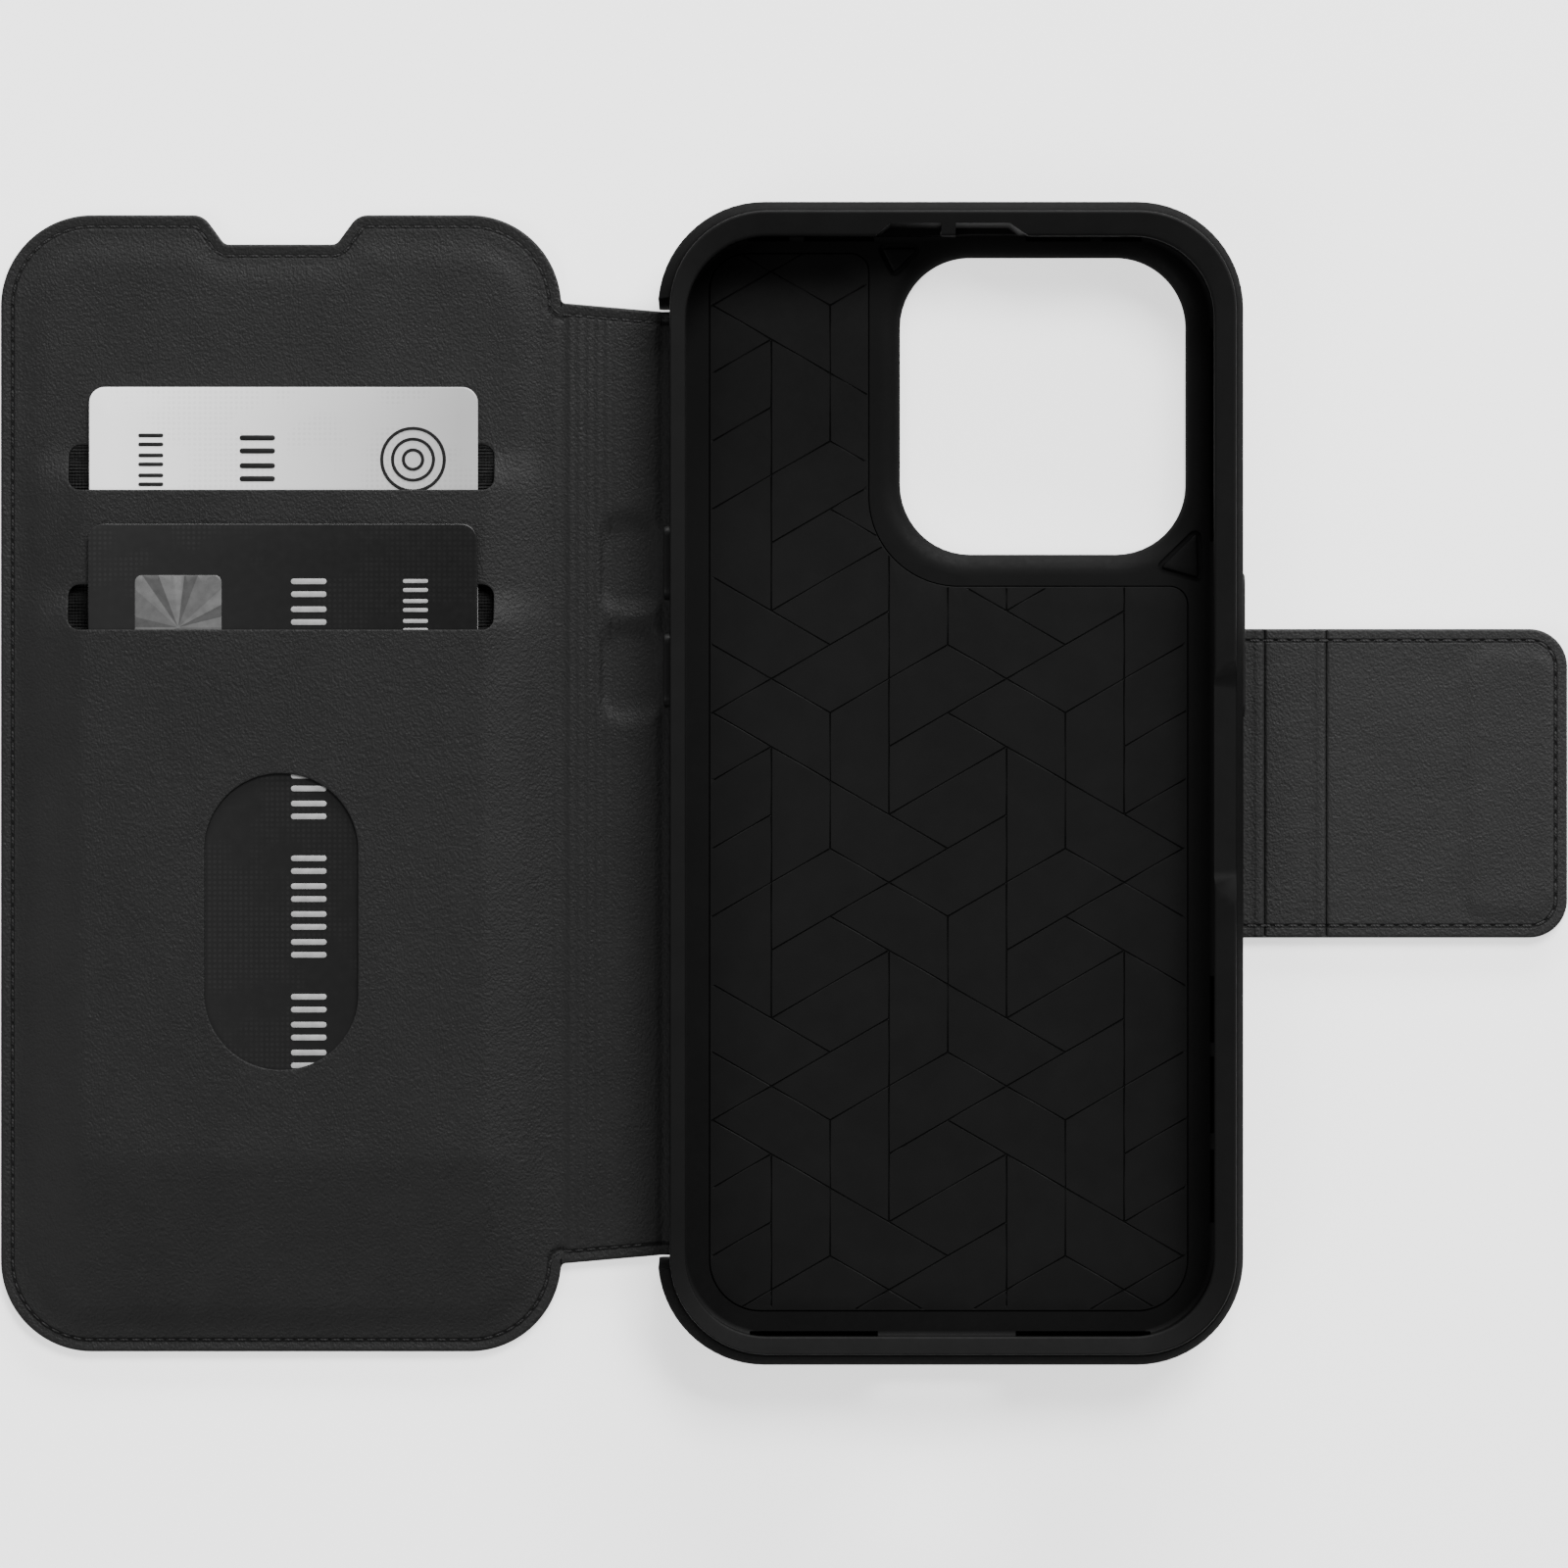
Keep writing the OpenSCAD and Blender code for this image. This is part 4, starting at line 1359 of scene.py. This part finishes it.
PATTERN = pattern_lines()
pattern_starts = np.array([line[0] for line in PATTERN])
pattern_ends = np.array([line[-1] for line in PATTERN])
GROOVE_W = 0.13
GROOVE_DEPTH = 0.09
groove_edges = []
for line in PATTERN:
    along = (line[-1] - line[0]) / np.hypot(*(line[-1] - line[0]))
    across = np.array((-along[1], along[0])) * GROOVE_W
    groove_edges += [line, np.array([line[0] + across, line[-1] + across]),
                     np.array([line[0] - across, line[-1] - across])]


def from_pattern(x, y):
    """Distance to the nearest line of the pattern."""
    return to_segments(np.column_stack([x, y]), pattern_starts, pattern_ends)


def liner_top(x, y, edge, hole):
    """Top of the floor panel, with a groove along each line."""
    grooves = 1 - smooth(from_pattern(x, y), 0.03, GROOVE_W)
    return FLOOR_Z - GROOVE_DEPTH * grooves - edge_drop(edge, 0.12)


def in_groove_shade(x, y, edge, hole):
    """1 on the faces at the bottom of the grooves, which take painted shade."""
    return (from_pattern(x, y) < GROOVE_W * 0.62).astype(np.int32)


liner_sheet = Sheet(liner_outline, rings=(0.03, 0.08, 0.15), spacing=4.0, lines=groove_edges)
liner = liner_sheet.build("floor_panel", liner_top, level(LINER.z0),
                          [LINER_PLASTIC, GROOVE_SHADE_PLASTIC], pick=in_groove_shade, angle=12)
settle(liner, "shell", "liner_plastic", "floor_liner")


# ---- cards

CARD_R = 2.1
CARD_EDGE = 0.16
MARK_RISE = 0.07
MARK_SINK = 0.03


def card_piece(name, box, material, slot, body, node):
    """A card with softened edges."""
    sheet = Sheet(box_outline(box.flat, CARD_R), rings=(0.04, 0.1, 0.2), spacing=6.0)
    piece = sheet.build(name, soft_top(box.z1, CARD_EDGE),
                        lambda x, y, edge, hole: box.z0 + edge_drop(edge, CARD_EDGE), material)
    settle(piece, body, slot, node)


def raised_bar(box, z):
    """Rings of a raised bar with round ends and soft edges."""
    radius = min(box[2] - box[0], box[3] - box[1]) / 2 - 0.01
    rings = Rings(3.0, 5)
    for inset, height in ((0, -MARK_SINK), (0.03, MARK_RISE * 0.7), (0.1, MARK_RISE)):
        rings.add(grown(box, -inset), radius - inset, z + height)
    return rings.rings


def raised_ring(cx, cy, radius, stroke, z):
    """Rings of a raised circle, for a tube."""
    rings = Rings(3.0, 14)
    box = (cx - radius, cy - radius, cx + radius, cy + radius)
    for inset, height in ((0, -MARK_SINK), (0.08, MARK_RISE), (stroke - 0.08, MARK_RISE),
                          (stroke, -MARK_SINK)):
        rings.add(grown(box, -inset), radius - inset - 0.01, z + height)
    return rings.rings


def column(cx, top, z, wide, tall, stroke, pitch, count, group=1, group_gap=0.0):
    """A row of plain equal bars down a card, two for every pitch, with a gap
    after each group."""
    bars = []
    for i in range(count):
        cy = top - pitch * i - group_gap * (i // group)
        for y in (cy + (tall - stroke) / 2, cy - (tall - stroke) / 2):
            box = (cx - wide / 2, y - stroke / 2, cx + wide / 2, y + stroke / 2)
            bars.append(raised_bar(box, z))
    return bars


def marks(name, bars, circles, material, slot, body):
    """All the marks of one kind on a card, as one piece."""
    vertices, faces = [], []
    for shapes, tube in ((bars, False), (circles, True)):
        for rings in shapes:
            faces += loft(rings, tube, len(vertices))
            vertices += [point for ring in rings for point in ring]
    settle(new_object(name, vertices, faces, material, MOULDED_ANGLE), body, slot)


def foil_patch(cx, cy, wide, tall, base):
    """A round-cornered patch of foil in lighter and darker sectors."""
    box = (cx - wide / 2, cy - tall / 2, cx + wide / 2, cy + tall / 2)
    rays = 26
    lines = []
    for i in range(rays):
        c, s = math.cos(math.tau * i / rays), math.sin(math.tau * i / rays)
        reach = min((wide / 2 - 0.1) / max(abs(c), 1e-6), (tall / 2 - 0.1) / max(abs(s), 1e-6))
        lines.append([(cx + 0.3 * c, cy + 0.3 * s), (cx + reach * c, cy + reach * s)])

    def ray(x, y, edge, hole):
        """The material index of the ray that a face is in."""
        turn = (np.arctan2(y - cy, x - cx) % math.tau) / math.tau * rays
        return np.array([(0, 2, 1, 2, 0, 1, 0)[int(t) * 3 % 7] for t in turn], np.int32)

    sheet = Sheet(box_outline(box, 0.9), rings=(0.08,), spacing=2.0, lines=lines)
    piece = sheet.build("foil_patch", soft_top(base + 0.04, 0.04), level(base - MARK_SINK),
                        FOILS, pick=ray)
    settle(piece, "lower_card", "card_silver")


card_piece("silver_card", UPPER_CARD, SILVER_CARD, "card_silver", "upper_card", "card_upper")
card_piece("black_card", LOWER_CARD, BLACK_CARD, "card_black", "lower_card", "card_lower")

# How far long and short rows of marks stand from the middle of a card
LONG_X, SHORT_X = 3.5, 17.8
LONG_ROW = {"wide": 4.8, "tall": 2.5, "pitch": 3.74, "count": 16, "group": 4, "group_gap": 3.6}
SHORT_ROW = {"wide": 3.4, "tall": 1.75, "pitch": 2.68, "stroke": 0.55}
EMBLEM = (UPPER_CARD.cx + 17.4, UPPER_CARD.y1 - 9.75)
EMBLEM_RADII = (4.45, 3.0, 1.55)
FOIL = (LOWER_CARD.cx - 14.0, LOWER_CARD.y1 - 13.9, 11.6, 14.0)


def rows(card, way, long_drop, short_drop, stroke, count):
    """A long and a short row of bars on a card; way is 1 to the right."""
    long_row = column(card.cx + way * LONG_X, card.y1 - long_drop, card.z1, stroke=stroke, **LONG_ROW)
    return long_row + column(card.cx + way * SHORT_X, card.y1 - short_drop, card.z1, count=count,
                             **SHORT_ROW)


rings = [raised_ring(*EMBLEM, radius, 0.5, UPPER_CARD.z1) for radius in EMBLEM_RADII]
marks("silver_card_marks", rows(UPPER_CARD, -1, 7.7, 7.1, 0.75, 13), rings, SILVER_MARK,
      "card_black", "upper_card")
marks("black_card_marks", rows(LOWER_CARD, 1, 8.6, 8.3, 0.78, 5), [], BLACK_MARK,
      "card_silver", "lower_card")
foil_patch(*FOIL, LOWER_CARD.z1)


# ---- weave

THREAD_PITCH = 0.5
THREAD_H = 0.17
WEAVE_Z = BOARD.z1 + 0.21


def weave_top(x, y, edge, hole):
    """Threads that cross over and under each other in turn."""
    u, v = x / THREAD_PITCH, y / THREAD_PITCH
    across, along = np.abs(np.sin(math.pi * u)), np.abs(np.sin(math.pi * v))
    over = 1 - 2 * ((np.floor(u) + np.floor(v)) % 2)
    warp = across * (0.6 + 0.4 * over * along)
    weft = along * (0.6 - 0.4 * over * across)
    return WEAVE_Z + THREAD_H * np.maximum(warp, weft)


for pocket, y0 in (("upper", UPPER_SLOT), ("lower", LOWER_SLOT)):
    for side, way in (("left", -1), ("right", 1)):
        ends = sorted((SLOT_X + way * (SLOT_HW - 3.2), SLOT_X + way * (SLOT_HW + 0.9)))
        box = (ends[0], y0 - 0.8, ends[1], y0 + SLOT_H + 0.8)
        patch = Sheet(box_outline(box, 0.3), spacing=0.1)
        weave = patch.build(f"{pocket}_slot_weave_{side}", weave_top, level(BOARD.z1 + 0.02),
                            WEAVE, angle=180)
        settle(weave, "cover", "lining")


# ---- hidden

HIDDEN = (
    ("cover_board", BOARD_FIBRE, "board"),
    ("latch_side_stiffener", BOARD_FIBRE, "board"),
    ("latch_keeper", STEEL, "keeper_steel"),
    ("latch_magnet", MAGNET_PLATE, "magnet"),
    ("pocket_lining", WEAVE, "lining"),
    ("pocket_divider", WEAVE, "lining"),
)
for node, look, slot in HIDDEN:
    part = frame["nodes"][node]
    part.data.materials.clear()
    part.data.materials.append(look)


# ---- stage

floor_look = Look("studio_floor", Roughness=0.85, Emission_Color=(1, 1, 1, 1), Emission_Strength=1.2)
floor_look.set("Base Color", floor_look.ramp(floor_look.noise(0.002, 2), (0.3, 0.93), (0.7, 0.95)))
floor_look.bump(floor_look.noise(0.4, 2), 0.01)
FLOOR_SIZE = 3000
FLOOR_DROP = 0.2
bpy.ops.mesh.primitive_plane_add(size=FLOOR_SIZE * MM, location=(0, 0, -FLOOR_DROP * MM))
floor = bpy.context.object
floor.name = "studio_floor"
floor.data.materials.append(floor_look.material)
floor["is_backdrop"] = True


def softbox(name, place, size, watts, aim=(0, 0, 0)):
    """An oblong area light that faces a point, in metres."""
    light = bpy.data.lights.new(name, "AREA")
    light.shape = "RECTANGLE"
    light.size, light.size_y = size
    light.energy = watts
    lamp = bpy.data.objects.new(name, light)
    lamp.location = place
    lamp.rotation_euler = (Vector(aim) - Vector(place)).to_track_quat("-Z", "Y").to_euler()
    bpy.context.scene.collection.objects.link(lamp)
    lamp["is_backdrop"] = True


softbox("key_softbox", (0.6, 1.25, 1.45), (1.2, 0.7), 62)
softbox("low_softbox", (0.3, 1.8, 0.45), (1.6, 0.3), 66)
softbox("side_softbox", (1.2, 0.1, 0.8), (0.6, 0.6), 3)
softbox("fill_softbox", (-1.3, -0.9, 1.3), (1.0, 1.0), 16)

world = bpy.data.worlds.new("studio")
world.use_nodes = True
background = world.node_tree.nodes["Background"]
background.inputs["Color"].default_value = (1, 1, 1, 1)
background.inputs["Strength"].default_value = 0.2
bpy.context.scene.world = world

CAMERA_MM = (0, -0.09, 801.6)
SENSOR_MM = 36
LENS_MM = 136.701
camera = bpy.data.cameras.new("camera")
camera.sensor_width = SENSOR_MM
camera.lens = LENS_MM
camera.clip_start = 0.01
camera_object = bpy.data.objects.new("camera", camera)
camera_object.location = [place * MM for place in CAMERA_MM]
bpy.context.scene.collection.objects.link(camera_object)
bpy.context.scene.camera = camera_object

sizes = {"cad": cad_box, "visual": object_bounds()}
